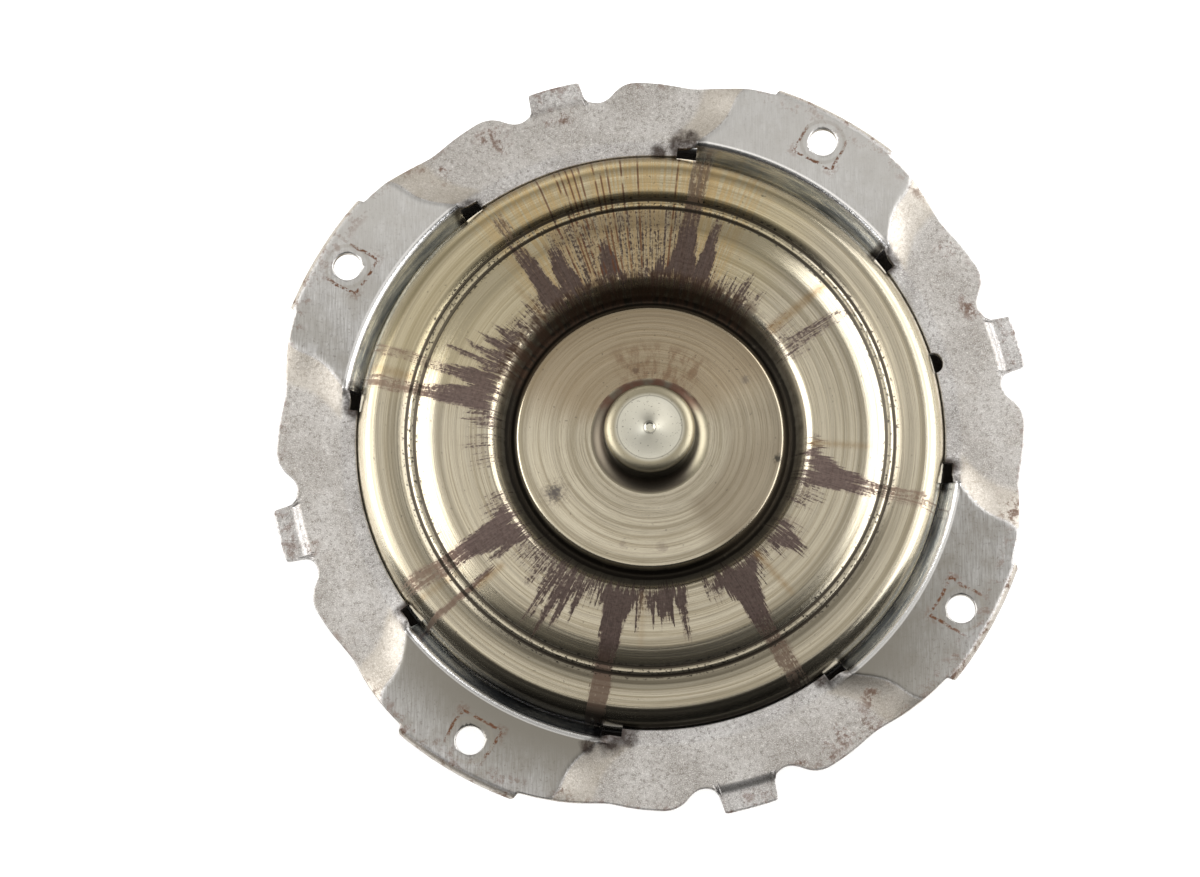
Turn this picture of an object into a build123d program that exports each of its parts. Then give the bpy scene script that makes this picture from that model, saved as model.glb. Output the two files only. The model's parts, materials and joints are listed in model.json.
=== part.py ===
"""A lock-up torque converter with its flexplate ring, as separate pieces on one axis.

+Z points to the engine. The origin is on the axis, in the top face of the four bolt pads.
"""

import os
from math import cos, radians, sin

from build123d import *

os.makedirs("parts", exist_ok=True)

# ---- Driving dimensions, in millimetres and degrees ----
RUNNING = 0.05          # radial clearance of a running fit
BRAZE_GAP = 0.1         # gap round a brazed blade or a lapped sheet

BOLT_CIRCLE = 285.0
BOLT_HOLE = 12.0
PADS = 4
PAD_ANGLE = 60.0        # where the first pad stands, from +X
SHEET = 3.0             # thickness of the mounting ring
SEGMENT_DROP = 3.4      # how far the ring between the pads lies below them
TAB_DROP = 5.6

COVER_RADIUS = 118.5    # of the dome, where the mounting ring is welded on
DOME_BORE = 114.0
WALL_RADIUS = 130.0     # of the wider wall below the ring
WALL_BORE = 125.5
COVER_END = -72.0
SLEEVE_RADIUS = 125.45  # the impeller shell's rim, inside the cover
SLEEVE_BORE = 121.4
PLATEAU_TOP = -1.7
PLATEAU_UNDER = -6.0
PILOT_RADIUS = 18.3
PILOT_TOP = 14.0
PILOT_BASE = 24.0
PISTON_GUIDE = 26.0     # outside radius of the pilot's inner end

TORUS_RADIUS = 77.0     # middle of the oil circuit's section
TORUS_HEIGHT = -80.0
TORUS_WIDE = 27.0       # half its section, radially
TORUS_DEEP = 21.0       # half its section, axially
CORE_WIDE = 12.0
CORE_DEEP = 9.0
WHEEL_GAP = 1.0         # from the middle plane to each wheel
STATOR_ROOM = 68.0      # the wheels leave this radius to the stator
STATOR_HALF = 10.0
THROAT_HALF = 13.0      # half the height the wheels leave free there

DISC_BORE = 98.0        # inside radius of the outer disc carrier
DISC_TEETH = 24
DRUM_TEETH = 30
PISTON_FACE = -10.0
DISC_GAP = 0.45
STEEL_THICK = 1.6
LINED_THICK = 1.8
BACKING_THICK = 3.5

DISCS = 3               # pairs of steel and lined discs
LINING_DEPTH = 0.4
LINING_GROOVES = 30
PISTON_RADIUS = 97.6
CARRIER_RADIUS = 104.0
CARRIER_END = -31.0
SNAP_TOP = -26.9
SNAP_GROOVE = 101.8

DAMPER_PLATE_TOP = -34.0
DAMPER_HEIGHT = -39.2   # middle plane of the springs
SPRING_RADIUS = 92.0
SPRING_COUNT = 6
SPRING_LENGTH = 50.0
COIL_RADIUS = 5.6
WIRE_RADIUS = 1.4

MASSES = 3
TRACK_RADIUS = 6.0      # radius of a roller's path in either track
TRACK_ANGLE = 43.0      # how far a track reaches to each side
ROLLER_RADIUS = 4.0
ROLLER_CIRCLE = 99.0
ROLLER_ANGLE = 20.0     # from the middle of a mass to its rollers

NEEDLE = 3.0            # diameter of the thrust bearings' needles
RACE = 1.2
HUB_RADIUS = 28.5
HUB_BORE = 24.0
HUB_END = -136.0
DRIVE_NOTCH = 10.0
STATOR_VANES = 19


# ---- Helpers ----
def polar(radius, angle):
    """The point at a radius and an angle in degrees."""
    return (radius * cos(radians(angle)), radius * sin(radians(angle)))


def wedge(inner, outer, angle):
    """The corners of a tooth or a gap that is centred on +X."""
    half = angle / 2
    return [polar(inner, -half), polar(outer, -half), polar(outer, half), polar(inner, half)]


def turned(outline):
    """A body turned about the axis from its closed (radius, height) outline."""
    with BuildPart() as body:
        with BuildSketch(Plane.XZ):
            with BuildLine():
                Polyline(*outline, close=True)
            make_face()
        revolve(axis=Axis.Z)
    return body.part


def ring(inner, outer, bottom, top):
    """A plain ring between two radii and two heights."""
    with BuildPart() as body:
        with BuildSketch(Plane.XY.offset(bottom)):
            Circle(outer)
            Circle(inner, mode=Mode.SUBTRACT)
        extrude(amount=top - bottom)
    return body.part


def teeth(count, inner, outer, angle, bottom, top):
    """A circle of straight-sided teeth, to add to a ring or to cut from it."""
    with BuildPart() as body:
        with BuildSketch(Plane.XY.offset(bottom)):
            with PolarLocations(0, count):
                Polygon(*wedge(inner, outer, angle), align=None)
        extrude(amount=top - bottom)
    return body.part


def rivets(count, circle, heads, shank, head, start=0.0, shoulder=None):
    """A circle of rivets. heads holds the heights of both head faces and both seats."""
    top, upper_seat, lower_seat, bottom = heads
    with BuildPart() as group:
        for step in range(count):
            spot = polar(circle, start + 360 / count * step)
            with BuildSketch(Plane.XY.offset(bottom)):
                with Locations(spot):
                    Circle(head)
            extrude(amount=lower_seat - bottom)
            with BuildSketch(Plane.XY.offset(lower_seat)):
                with Locations(spot):
                    Circle(shank)
            extrude(amount=upper_seat - lower_seat)
            with BuildSketch(Plane.XY.offset(upper_seat)):
                with Locations(spot):
                    Circle(head)
            extrude(amount=top - upper_seat)
            if shoulder:
                radius, low, high = shoulder
                with BuildSketch(Plane.XY.offset(low)):
                    with Locations(spot):
                        Circle(radius)
                extrude(amount=high - low)
    return group


def save(name, body):
    """Labels one finished piece and writes its file."""
    body.part.label = name
    export_step(body.part, f"parts/{name}.step")


# ---- Front cover: a drawn cup with a dished centre, a flat annulus and a stepped wall ----
SHOULDER_TOP = -18.5    # where the wall steps out, below the ring's welds
with BuildPart() as front_cover:
    with BuildSketch(Plane.XZ):
        with BuildLine():
            Polyline(
                (PILOT_BASE, PLATEAU_UNDER), (PILOT_BASE, PLATEAU_TOP), (53.0, PLATEAU_TOP))
            Spline(
                (53.0, PLATEAU_TOP), (54.2, -2.4), (56.2, -4.9), (62.6, 2.2), (66.0, 4.0),
                tangents=((1, 0), (1, 0)))
            Line((66.0, 4.0), (85.5, 4.0))
            Spline((85.5, 4.0), (90.5, 3.1), (94.7, 1.7), tangents=((1, 0), (1, -0.5)))
            ThreePointArc((94.7, 1.7), (96.5, 2.3), (98.3, 1.6))
            Spline(
                (98.3, 1.6), (101.2, 2.8), (103.6, 3.2), (108.0, 3.4), (111.6, 3.25),
                (114.7, 1.6), (117.3, -1.2), (COVER_RADIUS, -5.0),
                tangents=((1, 0.5), (0, -1)))
            Line((COVER_RADIUS, -5.0), (COVER_RADIUS, SHOULDER_TOP + 2.5))
            Spline(
                (COVER_RADIUS, SHOULDER_TOP + 2.5), (122.6, SHOULDER_TOP - 0.2),
                (WALL_RADIUS, SHOULDER_TOP - 5.5), tangents=((0, -1), (0, -1)))
            Polyline(
                (WALL_RADIUS, SHOULDER_TOP - 5.5), (WALL_RADIUS, COVER_END),
                (WALL_BORE, COVER_END), (WALL_BORE, SHOULDER_TOP - 9.0))
            Spline(
                (WALL_BORE, SHOULDER_TOP - 9.0), (120.3, SHOULDER_TOP - 4.2),
                (DOME_BORE, SHOULDER_TOP + 2.0), tangents=((0, 1), (0, 1)))
            Line((DOME_BORE, SHOULDER_TOP + 2.0), (DOME_BORE, -9.0))
            TangentArc((DOME_BORE, -9.0), (108.0, -2.8), tangent=(0, 1))
            Polyline(
                (108.0, -2.8), (94.0, -2.8), (86.0, -0.5), (66.5, -0.5), (58.0, -9.0),
                (54.5, -9.0), (51.5, PLATEAU_UNDER), (PILOT_BASE, PLATEAU_UNDER))
        make_face()
    revolve(axis=Axis.Z)
save("front_cover", front_cover)

# ---- Pilot: centres the converter in the crankshaft and guides the piston inside ----
PILOT_EDGE = 5.0        # rounding of the pin's end
PILOT_FILLET = PILOT_BASE - PILOT_RADIUS
PILOT_INNER_END = -26.0
with BuildPart() as pilot:
    with BuildSketch(Plane.XZ):
        with BuildLine():
            Polyline((0, -4), (0, PILOT_TOP), (PILOT_RADIUS - PILOT_EDGE, PILOT_TOP))
            Spline(
                (PILOT_RADIUS - PILOT_EDGE, PILOT_TOP), (PILOT_RADIUS - 1.4, PILOT_TOP - 0.9),
                (PILOT_RADIUS, PILOT_TOP - 4), tangents=((1, 0), (0, -1)))
            Line((PILOT_RADIUS, PILOT_TOP - 4), (PILOT_RADIUS, PLATEAU_TOP + PILOT_FILLET))
            RadiusArc(
                (PILOT_RADIUS, PLATEAU_TOP + PILOT_FILLET), (PILOT_BASE, PLATEAU_TOP),
                -PILOT_FILLET)
            Polyline(
                (PILOT_BASE, PLATEAU_TOP), (PILOT_BASE, PLATEAU_UNDER),
                (PISTON_GUIDE, PLATEAU_UNDER), (PISTON_GUIDE, PILOT_INNER_END),
                (16, PILOT_INNER_END), (16, -8), (0, -4))
        make_face()
    revolve(axis=Axis.Z)
    with Locations((0, 0, PILOT_TOP)):
        Cone(1.5, 2.0, 0.5, align=(Align.CENTER, Align.CENTER, Align.MAX), mode=Mode.SUBTRACT)
save("pilot", pilot)

# ---- Mounting ring: four raised pads, lower segments with a driving tab on each ----
QUARTER = 360 / PADS
PAD_HALF = 10.0         # half the angle of a pad's turned-down lip
COLLAR_HALF = 20.8      # half the angle of the collar that is welded to the cover
RING_INNER = COVER_RADIUS + 0.1
BEND_RADIUS = 125.6     # where a pad starts to bend down into its collar
COLLAR_END = -12.5
SLOT_ANGLE = 3.8        # width of the relief slot at each end of a collar
SLOT_RADIUS = 122.2
LIP_RADIUS = 153.8
LIP_END = -6.0
TAB_END = 154.6
TAB_HALF = 4.0
TAB_BEND = 143.9
TAB_ROOM = 30.0
NOTCH_ANGLE = 14.8      # one half-round notch in the inner edge marks the ring's position
NOTCH_RADIUS = 4.3


def eighth_plan():
    """Half a quarter of the ring's plan, from the middle of a tab to the middle of a pad."""
    lip_start = polar(LIP_RADIUS, QUARTER / 2 - PAD_HALF)
    lip_middle = polar(LIP_RADIUS, QUARTER / 2)
    with BuildSketch() as plan:
        with BuildLine():
            Line((0, 0), (TAB_END, 0))
            RadiusArc((TAB_END, 0), polar(TAB_END, TAB_HALF), -TAB_END)
            Line(polar(TAB_END, TAB_HALF), polar(146.2, 4.5))
            Spline(
                polar(146.2, 4.5), polar(143.7, 6.8), polar(146.6, 9.2), polar(150.8, 11.8),
                polar(150.3, 16.5), polar(149.0, 22.0), polar(151.2, 27.0), polar(152.9, 33.0),
                lip_start)
            RadiusArc(lip_start, lip_middle, -LIP_RADIUS)
            Line(lip_middle, (0, 0))
        make_face()
    return plan.sketch


def pad_plan(wider):
    """The plan of a pad's plateau about +X, with its sides moved out by an angle."""
    sides = [(165, 9.5), (152, 15.2), (142, 15.8), (134, 17.2), (127.5, 19.6), (116, 21.8)]
    right = [polar(radius, -half - wider) for radius, half in sides]
    left = [polar(radius, half + wider) for radius, half in reversed(sides)]
    with BuildSketch() as plan:
        with BuildLine():
            Spline(*right)
            Line(right[-1], left[0])
            Spline(*left)
            Line(left[-1], right[0])
        make_face()
    return plan.sketch


def pad_hump(lowered):
    """The solid under a pad's upper surface, or, lowered by the sheet, the hollow in it."""
    with BuildPart() as hump:
        with BuildSketch(Plane.XY.offset(-SEGMENT_DROP - lowered)):
            add(foot)
        with BuildSketch(Plane.XY.offset(-lowered)):
            add(plateau)
        loft()
        with BuildSketch(Plane.XY.offset(-SEGMENT_DROP - lowered)):
            add(foot)
        extrude(amount=-SHEET)
    return hump.part


plateau, foot = pad_plan(0), pad_plan(6.2)
eighth = eighth_plan()
other_eighth = mirror(eighth, about=Plane.XZ)   # outside a builder, which would keep the copy too
upper_hump, hollow = pad_hump(0), pad_hump(SHEET)

with BuildSketch() as ring_plan:
    for step in range(PADS):
        tab_angle = PAD_ANGLE + QUARTER / 2 + QUARTER * step
        add(eighth, rotation=tab_angle)
        add(other_eighth, rotation=tab_angle)
    Circle(RING_INNER, mode=Mode.SUBTRACT)

with BuildSketch() as collar_room:
    with PolarLocations(0, PADS, start_angle=PAD_ANGLE):
        Polygon(*wedge(60, 160, 2 * COLLAR_HALF), align=None)
    Circle(BEND_RADIUS, mode=Mode.INTERSECT)

with BuildSketch() as slot_room:
    with PolarLocations(0, PADS, start_angle=PAD_ANGLE):
        Polygon(*wedge(60, 160, 2 * (COLLAR_HALF + SLOT_ANGLE)), align=None)
    Circle(SLOT_RADIUS, mode=Mode.INTERSECT)

with BuildPart() as tab:
    with BuildSketch(Plane.XZ):
        with BuildLine():
            Polyline(
                (140, -SEGMENT_DROP), (TAB_BEND, -SEGMENT_DROP), (TAB_BEND + 3, -TAB_DROP),
                (160, -TAB_DROP), (160, -TAB_DROP - SHEET), (TAB_BEND + 2, -TAB_DROP - SHEET),
                (TAB_BEND - 1, -SEGMENT_DROP - SHEET), (140, -SEGMENT_DROP - SHEET), close=True)
        make_face()
    extrude(amount=TAB_ROOM / 2, both=True)

collar_outline = [
    (BEND_RADIUS + 0.4, 0), (BEND_RADIUS, 0), (BEND_RADIUS - 1.4, -0.5),
    (BEND_RADIUS - 2.2, -1.6), (RING_INNER, -6.6), (RING_INNER, COLLAR_END),
    (RING_INNER + SHEET, COLLAR_END), (RING_INNER + SHEET, -8.2), (BEND_RADIUS + 0.4, -SHEET)]
lip_outline = [
    (LIP_RADIUS - 0.4, 0), (LIP_RADIUS, 0), (LIP_RADIUS + 1.6, -0.6), (LIP_RADIUS + 2.5, -2.4),
    (LIP_RADIUS + 2.5, LIP_END), (LIP_RADIUS - 0.4, LIP_END), (LIP_RADIUS - 0.4, -SHEET)]
with BuildPart() as collars:
    add(turned(collar_outline))
    add(Rot(0, 0, PAD_ANGLE) * teeth(PADS, 60, 160, 2 * COLLAR_HALF, -20, 5), mode=Mode.INTERSECT)
with BuildPart() as lips:
    add(turned(lip_outline))
    add(Rot(0, 0, PAD_ANGLE) * teeth(PADS, 60, 180, 2 * PAD_HALF, -20, 5), mode=Mode.INTERSECT)

with BuildPart() as mounting_ring:
    add(ring(110, 160, -SEGMENT_DROP - SHEET, -SEGMENT_DROP))
    with BuildSketch(Plane.XY.offset(-20)):
        with PolarLocations(TAB_BEND + 9.5, PADS, start_angle=PAD_ANGLE + QUARTER / 2):
            Rectangle(20, TAB_ROOM)
    extrude(amount=20, mode=Mode.SUBTRACT)
    with PolarLocations(0, PADS, start_angle=PAD_ANGLE + QUARTER / 2):
        add(tab.part)
    with PolarLocations(0, PADS, start_angle=PAD_ANGLE):
        add(upper_hump)
    with PolarLocations(0, PADS, start_angle=PAD_ANGLE):
        add(hollow, mode=Mode.SUBTRACT)
    with BuildSketch(Plane.XY.offset(-20)):
        add(ring_plan.sketch)
        add(collar_room.sketch, mode=Mode.SUBTRACT)
        add(slot_room.sketch, mode=Mode.SUBTRACT)
        with Locations(polar(RING_INNER, NOTCH_ANGLE)):
            Circle(NOTCH_RADIUS, mode=Mode.SUBTRACT)
        with PolarLocations(BOLT_CIRCLE / 2, PADS, start_angle=PAD_ANGLE):
            Circle(BOLT_HOLE / 2, mode=Mode.SUBTRACT)
    extrude(amount=30, mode=Mode.INTERSECT)
    add(collars.part)
    add(lips.part)
save("mounting_ring", mounting_ring)

# ---- Weld seams under the four collars, and the seam that closes the housing ----
with BuildPart() as ring_welds:
    add(turned([
        (COVER_RADIUS, COLLAR_END), (RING_INNER + SHEET, COLLAR_END),
        (RING_INNER + 2.4, COLLAR_END - 1.6), (COVER_RADIUS, COLLAR_END - 3.4)]))
    add(Rot(0, 0, PAD_ANGLE) * teeth(PADS, 60, 160, 2 * COLLAR_HALF - 6, -40, 5),
        mode=Mode.INTERSECT)
save("ring_welds", ring_welds)

with BuildPart() as closing_weld:
    add(turned([
        (SLEEVE_RADIUS, COVER_END), (WALL_RADIUS - 0.6, COVER_END),
        (WALL_RADIUS - 0.4, COVER_END - 1.6), (WALL_RADIUS - 2, COVER_END - 4),
        (SLEEVE_RADIUS, COVER_END - 5.2)]))
save("closing_weld", closing_weld)

# ---- Lock-up clutch: piston, seals, discs, their two carriers and the snap ring ----
with BuildPart() as clutch_piston:
    add(turned([
        (PISTON_GUIDE + RUNNING, -9.8), (60, -9.8), (70, -5.5), (PISTON_RADIUS, -5.5),
        (PISTON_RADIUS, PISTON_FACE), (70, PISTON_FACE), (62, -13.8), (32, -13.8), (32, -20),
        (PISTON_GUIDE + RUNNING, -20)]))
    add(ring(PISTON_RADIUS - 2.4, 110, -8.9, -6.6), mode=Mode.SUBTRACT)
    add(ring(20, PISTON_GUIDE + 2.3, -16.5, -14.0), mode=Mode.SUBTRACT)
save("clutch_piston", clutch_piston)

with BuildPart() as piston_outer_seal:
    add(ring(PISTON_RADIUS - 2.3, DISC_BORE - RUNNING, -8.8, -6.7))
save("piston_outer_seal", piston_outer_seal)

with BuildPart() as piston_inner_seal:
    add(ring(PISTON_GUIDE + RUNNING, PISTON_GUIDE + 2.2, -16.4, -14.1))
save("piston_inner_seal", piston_inner_seal)

TOOTH_GAP = 360 / DISC_TEETH / 2
with BuildPart() as outer_disc_carrier:
    add(ring(DISC_BORE, CARRIER_RADIUS, CARRIER_END, -2.8))
    add(ring(DISC_BORE, CARRIER_RADIUS + 3.5, -5.2, -2.8))
    add(teeth(DISC_TEETH, DISC_BORE - 3, DISC_BORE + 2.6, TOOTH_GAP, CARRIER_END, PISTON_FACE - 0.4),
        mode=Mode.SUBTRACT)
    add(ring(DISC_BORE - 3, SNAP_GROOVE, SNAP_TOP - 2.1, SNAP_TOP), mode=Mode.SUBTRACT)
save("outer_disc_carrier", outer_disc_carrier)


def outer_toothed_disc(top, thick):
    """A disc that slides in the outer carrier by the teeth on its rim."""
    with BuildPart() as disc:
        add(ring(79, DISC_BORE - 0.6, top - thick, top))
        add(teeth(DISC_TEETH, DISC_BORE - 3, DISC_BORE + 2.2, TOOTH_GAP - 0.6, top - thick, top))
    return disc


def lined_disc(top):
    """A disc with waffle-cut lining on both faces and teeth that grip the inner drum."""
    bottom = top - LINED_THICK
    with BuildPart() as disc:
        add(ring(79, 95, bottom, top))
        add(teeth(DRUM_TEETH, 76.2, 80, 360 / DRUM_TEETH / 2 - 0.5, bottom, top))
        for groove_bottom in (bottom, top - LINING_DEPTH):
            with BuildSketch(Plane.XY.offset(groove_bottom)):
                with PolarLocations(87.5, LINING_GROOVES):
                    Rectangle(16, 1.6)
            extrude(amount=LINING_DEPTH, mode=Mode.SUBTRACT)
    return disc


disc_top = PISTON_FACE - DISC_GAP
for number in range(1, DISCS + 1):
    save(f"steel_disc_{number}", outer_toothed_disc(disc_top, STEEL_THICK))
    disc_top -= STEEL_THICK + DISC_GAP
    save(f"lined_disc_{number}", lined_disc(disc_top))
    disc_top -= LINED_THICK + DISC_GAP
save("backing_disc", outer_toothed_disc(disc_top, BACKING_THICK))

with BuildPart() as clutch_snap_ring:
    add(ring(97, SNAP_GROOVE - 0.2, SNAP_TOP - 2.05, SNAP_TOP - 0.05))
    with BuildSketch(Plane.XY.offset(SNAP_TOP - 3)):
        with Locations((99, 0)):
            Rectangle(14, 8)
    extrude(amount=4, mode=Mode.SUBTRACT)
save("clutch_snap_ring", clutch_snap_ring)

# ---- Torsional damper: two side plates drive the flange through six coil springs ----


def spring_windows(wide, long):
    """The window openings for the springs, through every plate of the damper."""
    with BuildPart() as windows:
        with BuildSketch(Plane.XY.offset(-60)):
            with PolarLocations(SPRING_RADIUS, SPRING_COUNT):
                Rectangle(wide, long)
        extrude(amount=40)
    return windows.part


def round_holes(count, circle, radius, start=0.0):
    """A circle of through holes, to cut from a plate."""
    with BuildPart() as holes:
        with BuildSketch(Plane.XY.offset(-70)):
            with PolarLocations(circle, count, start_angle=start):
                Circle(radius)
        extrude(amount=50)
    return holes.part


PLATE = 2.5
PLATE_UNDER = DAMPER_PLATE_TOP - PLATE
REAR_PLATE_TOP = 2 * DAMPER_HEIGHT - PLATE_UNDER
FLANGE_TOP = DAMPER_HEIGHT + 1.5
FLANGE_UNDER = DAMPER_HEIGHT - 1.5
SPACER_START = 180 / SPRING_COUNT
CARRIER_RIVETS = 12

with BuildPart() as inner_disc_carrier:
    add(turned([
        (73, -11.9), (75.6, -11.9), (75.6, DAMPER_PLATE_TOP), (50, DAMPER_PLATE_TOP),
        (50, DAMPER_PLATE_TOP + 2.5), (73, DAMPER_PLATE_TOP + 2.5)]))
    add(Rot(0, 0, 180 / DRUM_TEETH)
        * teeth(DRUM_TEETH, 75, 78.4, 180 / DRUM_TEETH - 0.5, -25.5, -11.9))
    add(round_holes(CARRIER_RIVETS, 58, 2.5), mode=Mode.SUBTRACT)
save("inner_disc_carrier", inner_disc_carrier)

with BuildPart() as damper_front_plate:
    add(ring(50, 108, PLATE_UNDER, DAMPER_PLATE_TOP))
    add(spring_windows(13.4, SPRING_LENGTH + 4.8), mode=Mode.SUBTRACT)
    add(round_holes(CARRIER_RIVETS, 58, 2.5), mode=Mode.SUBTRACT)
    add(round_holes(SPRING_COUNT, 104.3, 2.6, SPACER_START), mode=Mode.SUBTRACT)
save("damper_front_plate", damper_front_plate)

with BuildPart() as damper_rear_plate:
    add(ring(62, 108, REAR_PLATE_TOP - PLATE, REAR_PLATE_TOP))
    add(spring_windows(13.4, SPRING_LENGTH + 4.8), mode=Mode.SUBTRACT)
    add(round_holes(SPRING_COUNT, 104.3, 2.6, SPACER_START), mode=Mode.SUBTRACT)
save("damper_rear_plate", damper_rear_plate)

save("damper_carrier_rivets", rivets(
    CARRIER_RIVETS, 58,
    (DAMPER_PLATE_TOP + 4, DAMPER_PLATE_TOP + 2.5, PLATE_UNDER, PLATE_UNDER - 0.6), 2.5, 4.2))
save("damper_spacers", rivets(
    SPRING_COUNT, 104.3,
    (DAMPER_PLATE_TOP + 1.2, DAMPER_PLATE_TOP, REAR_PLATE_TOP - PLATE, REAR_PLATE_TOP - PLATE - 1.2),
    2.6, 3.5, SPACER_START, (3.5, REAR_PLATE_TOP, PLATE_UNDER)))

with BuildPart() as damper_flange:
    add(ring(22.1, 99.8, FLANGE_UNDER, FLANGE_TOP))
    add(spring_windows(16.0, SPRING_LENGTH + 4.8), mode=Mode.SUBTRACT)
    add(round_holes(8, 38, 2.5), mode=Mode.SUBTRACT)
save("damper_flange", damper_flange)

COIL_PITCH = SPRING_LENGTH / 9
with BuildPart() as coil:
    with BuildLine():
        coil_path = Helix(
            COIL_PITCH, SPRING_LENGTH, COIL_RADIUS,
            center=(SPRING_RADIUS, -SPRING_LENGTH / 2, DAMPER_HEIGHT), direction=(0, 1, 0))
    with BuildSketch(Plane(origin=coil_path @ 0, z_dir=coil_path % 0)):
        Circle(WIRE_RADIUS)
    sweep(path=coil_path)
with BuildPart() as damper_springs:
    with PolarLocations(0, SPRING_COUNT):
        add(coil.part)
save("damper_springs", damper_springs)

# ---- Centrifugal pendulum: masses that swing on rollers in the carrier's curved tracks ----
CARRIER_TOP = -50.6
CARRIER_PLATE = 3.0
MASS_PLATE = 3.0
MASS_GAP = 0.4
SPACER_ANGLES = (-34.5, 0.0, 34.5)
SPACER_RADIUS = 3.0


def track(spot, radius, wide, inward):
    """A slot that curves round a centre on the axis's side of its middle, or beyond it."""
    side = 1 if inward else -1
    with BuildLine() as middle:
        CenterArc(
            (spot[0] - side * radius, spot[1]), radius, 90 - 90 * side - TRACK_ANGLE,
            2 * TRACK_ANGLE)
    with BuildSketch() as slot:
        SlotArc(middle.edge(), wide)
    return slot.sketch


def mass_plate(bottom):
    """One side of a pendulum mass about +X, with its two roller tracks."""
    with BuildPart() as plate:
        with BuildSketch(Plane.XY.offset(bottom)):
            Circle(MASS_OUTER)
            Circle(MASS_INNER, mode=Mode.SUBTRACT)
            Polygon(*wedge(20, 160, 2 * MASS_HALF), align=None, mode=Mode.INTERSECT)
            for side in (-1, 1):
                spot = polar(ROLLER_CIRCLE, side * ROLLER_ANGLE)
                add(track(spot, TRACK_RADIUS, TRACK_WIDE, False), mode=Mode.SUBTRACT)
        extrude(amount=MASS_PLATE)
    return plate.part


TRACK_WIDE = 2 * (ROLLER_RADIUS + 0.3)
MASS_INNER, MASS_OUTER, MASS_HALF = 88.0, 110.0, 40.0
UPPER_MASS = CARRIER_TOP + MASS_GAP
LOWER_MASS = CARRIER_TOP - CARRIER_PLATE - MASS_GAP - MASS_PLATE
SPACER_ROOM = SPACER_RADIUS + 0.5
HUB_RIVETS = 12

with BuildSketch() as pendulum_openings:
    for step in range(MASSES):
        turn = 360 / MASSES * step
        for side in (-1, 1):
            spot = polar(ROLLER_CIRCLE, side * ROLLER_ANGLE)
            add(track(spot, TRACK_RADIUS, TRACK_WIDE, True).rotate(Axis.Z, turn))
        for angle in SPACER_ANGLES:
            spot = polar(ROLLER_CIRCLE, angle)
            add(track(spot, 2 * TRACK_RADIUS, 2 * SPACER_ROOM, True).rotate(Axis.Z, turn))

with BuildPart() as pendulum_carrier:
    with BuildSketch(Plane.XY.offset(CARRIER_TOP - CARRIER_PLATE)):
        Circle(112)
        Circle(22.1, mode=Mode.SUBTRACT)
        add(pendulum_openings.sketch, mode=Mode.SUBTRACT)
        with PolarLocations(49, HUB_RIVETS):
            Circle(2.5, mode=Mode.SUBTRACT)
    extrude(amount=CARRIER_PLATE)
save("pendulum_carrier", pendulum_carrier)

upper_plate, lower_plate = mass_plate(UPPER_MASS), mass_plate(LOWER_MASS)
for number in range(1, MASSES + 1):
    turn = 360 / MASSES * (number - 1)
    with BuildPart() as pendulum_mass:
        add(upper_plate, rotation=(0, 0, turn))
        add(lower_plate, rotation=(0, 0, turn))
        with BuildSketch(Plane.XY.offset(LOWER_MASS)):
            for angle in SPACER_ANGLES:
                with Locations(polar(ROLLER_CIRCLE, turn + angle)):
                    Circle(SPACER_RADIUS)
        extrude(amount=UPPER_MASS - LOWER_MASS)
    save(f"pendulum_mass_{number}", pendulum_mass)
    for letter, side in (("a", -1), ("b", 1)):
        with BuildPart() as roller:
            with BuildSketch(Plane.XY.offset(LOWER_MASS + 0.2)):
                with Locations(polar(ROLLER_CIRCLE, turn + side * ROLLER_ANGLE)):
                    Circle(ROLLER_RADIUS)
            extrude(amount=UPPER_MASS + MASS_PLATE - LOWER_MASS - 0.4)
            chamfer(roller.edges().filter_by(GeomType.CIRCLE), 0.4)
        save(f"pendulum_roller_{number}{letter}", roller)

# ---- Turbine: hub, shell, blades and core ring, turned by the oil ----
HUB_TOP = PILOT_INNER_END - NEEDLE - RACE - 2 * RUNNING
HUB_BOSS = -65.7
LOWER_FLANGE = CARRIER_TOP - CARRIER_PLATE
SHELL_FLANGE = -58.0
SHELL_THICK = 2.0
SPLINE_TEETH = 30
with BuildPart() as turbine_hub:
    add(turned([
        (13.7, HUB_TOP), (25, HUB_TOP), (25, HUB_TOP - 3), (22, HUB_TOP - 4),
        (22, FLANGE_UNDER), (46, FLANGE_UNDER), (46, FLANGE_UNDER - 4), (22, FLANGE_UNDER - 4),
        (22, LOWER_FLANGE), (55, LOWER_FLANGE), (55, SHELL_FLANGE), (42.5, SHELL_FLANGE),
        (42.5, HUB_BOSS), (30.5, HUB_BOSS), (17, HUB_BOSS), (17, -59), (13.7, -57)]))
    add(teeth(SPLINE_TEETH, 12, 14.8, 180 / SPLINE_TEETH, -60, HUB_TOP + 1), mode=Mode.SUBTRACT)
    add(round_holes(8, 38, 2.5), mode=Mode.SUBTRACT)
    add(round_holes(HUB_RIVETS, 49, 2.5), mode=Mode.SUBTRACT)
save("turbine_hub", turbine_hub)

save("turbine_hub_rivets", rivets(
    HUB_RIVETS, 49,
    (CARRIER_TOP + 1.5, CARRIER_TOP, SHELL_FLANGE - SHELL_THICK, SHELL_FLANGE - SHELL_THICK - 1.3),
    2.5, 4.2))
save("damper_flange_rivets", rivets(
    8, 38, (FLANGE_TOP + 1.2, FLANGE_TOP, FLANGE_UNDER - 4, FLANGE_UNDER - 5.2), 2.5, 4.2))

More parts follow.
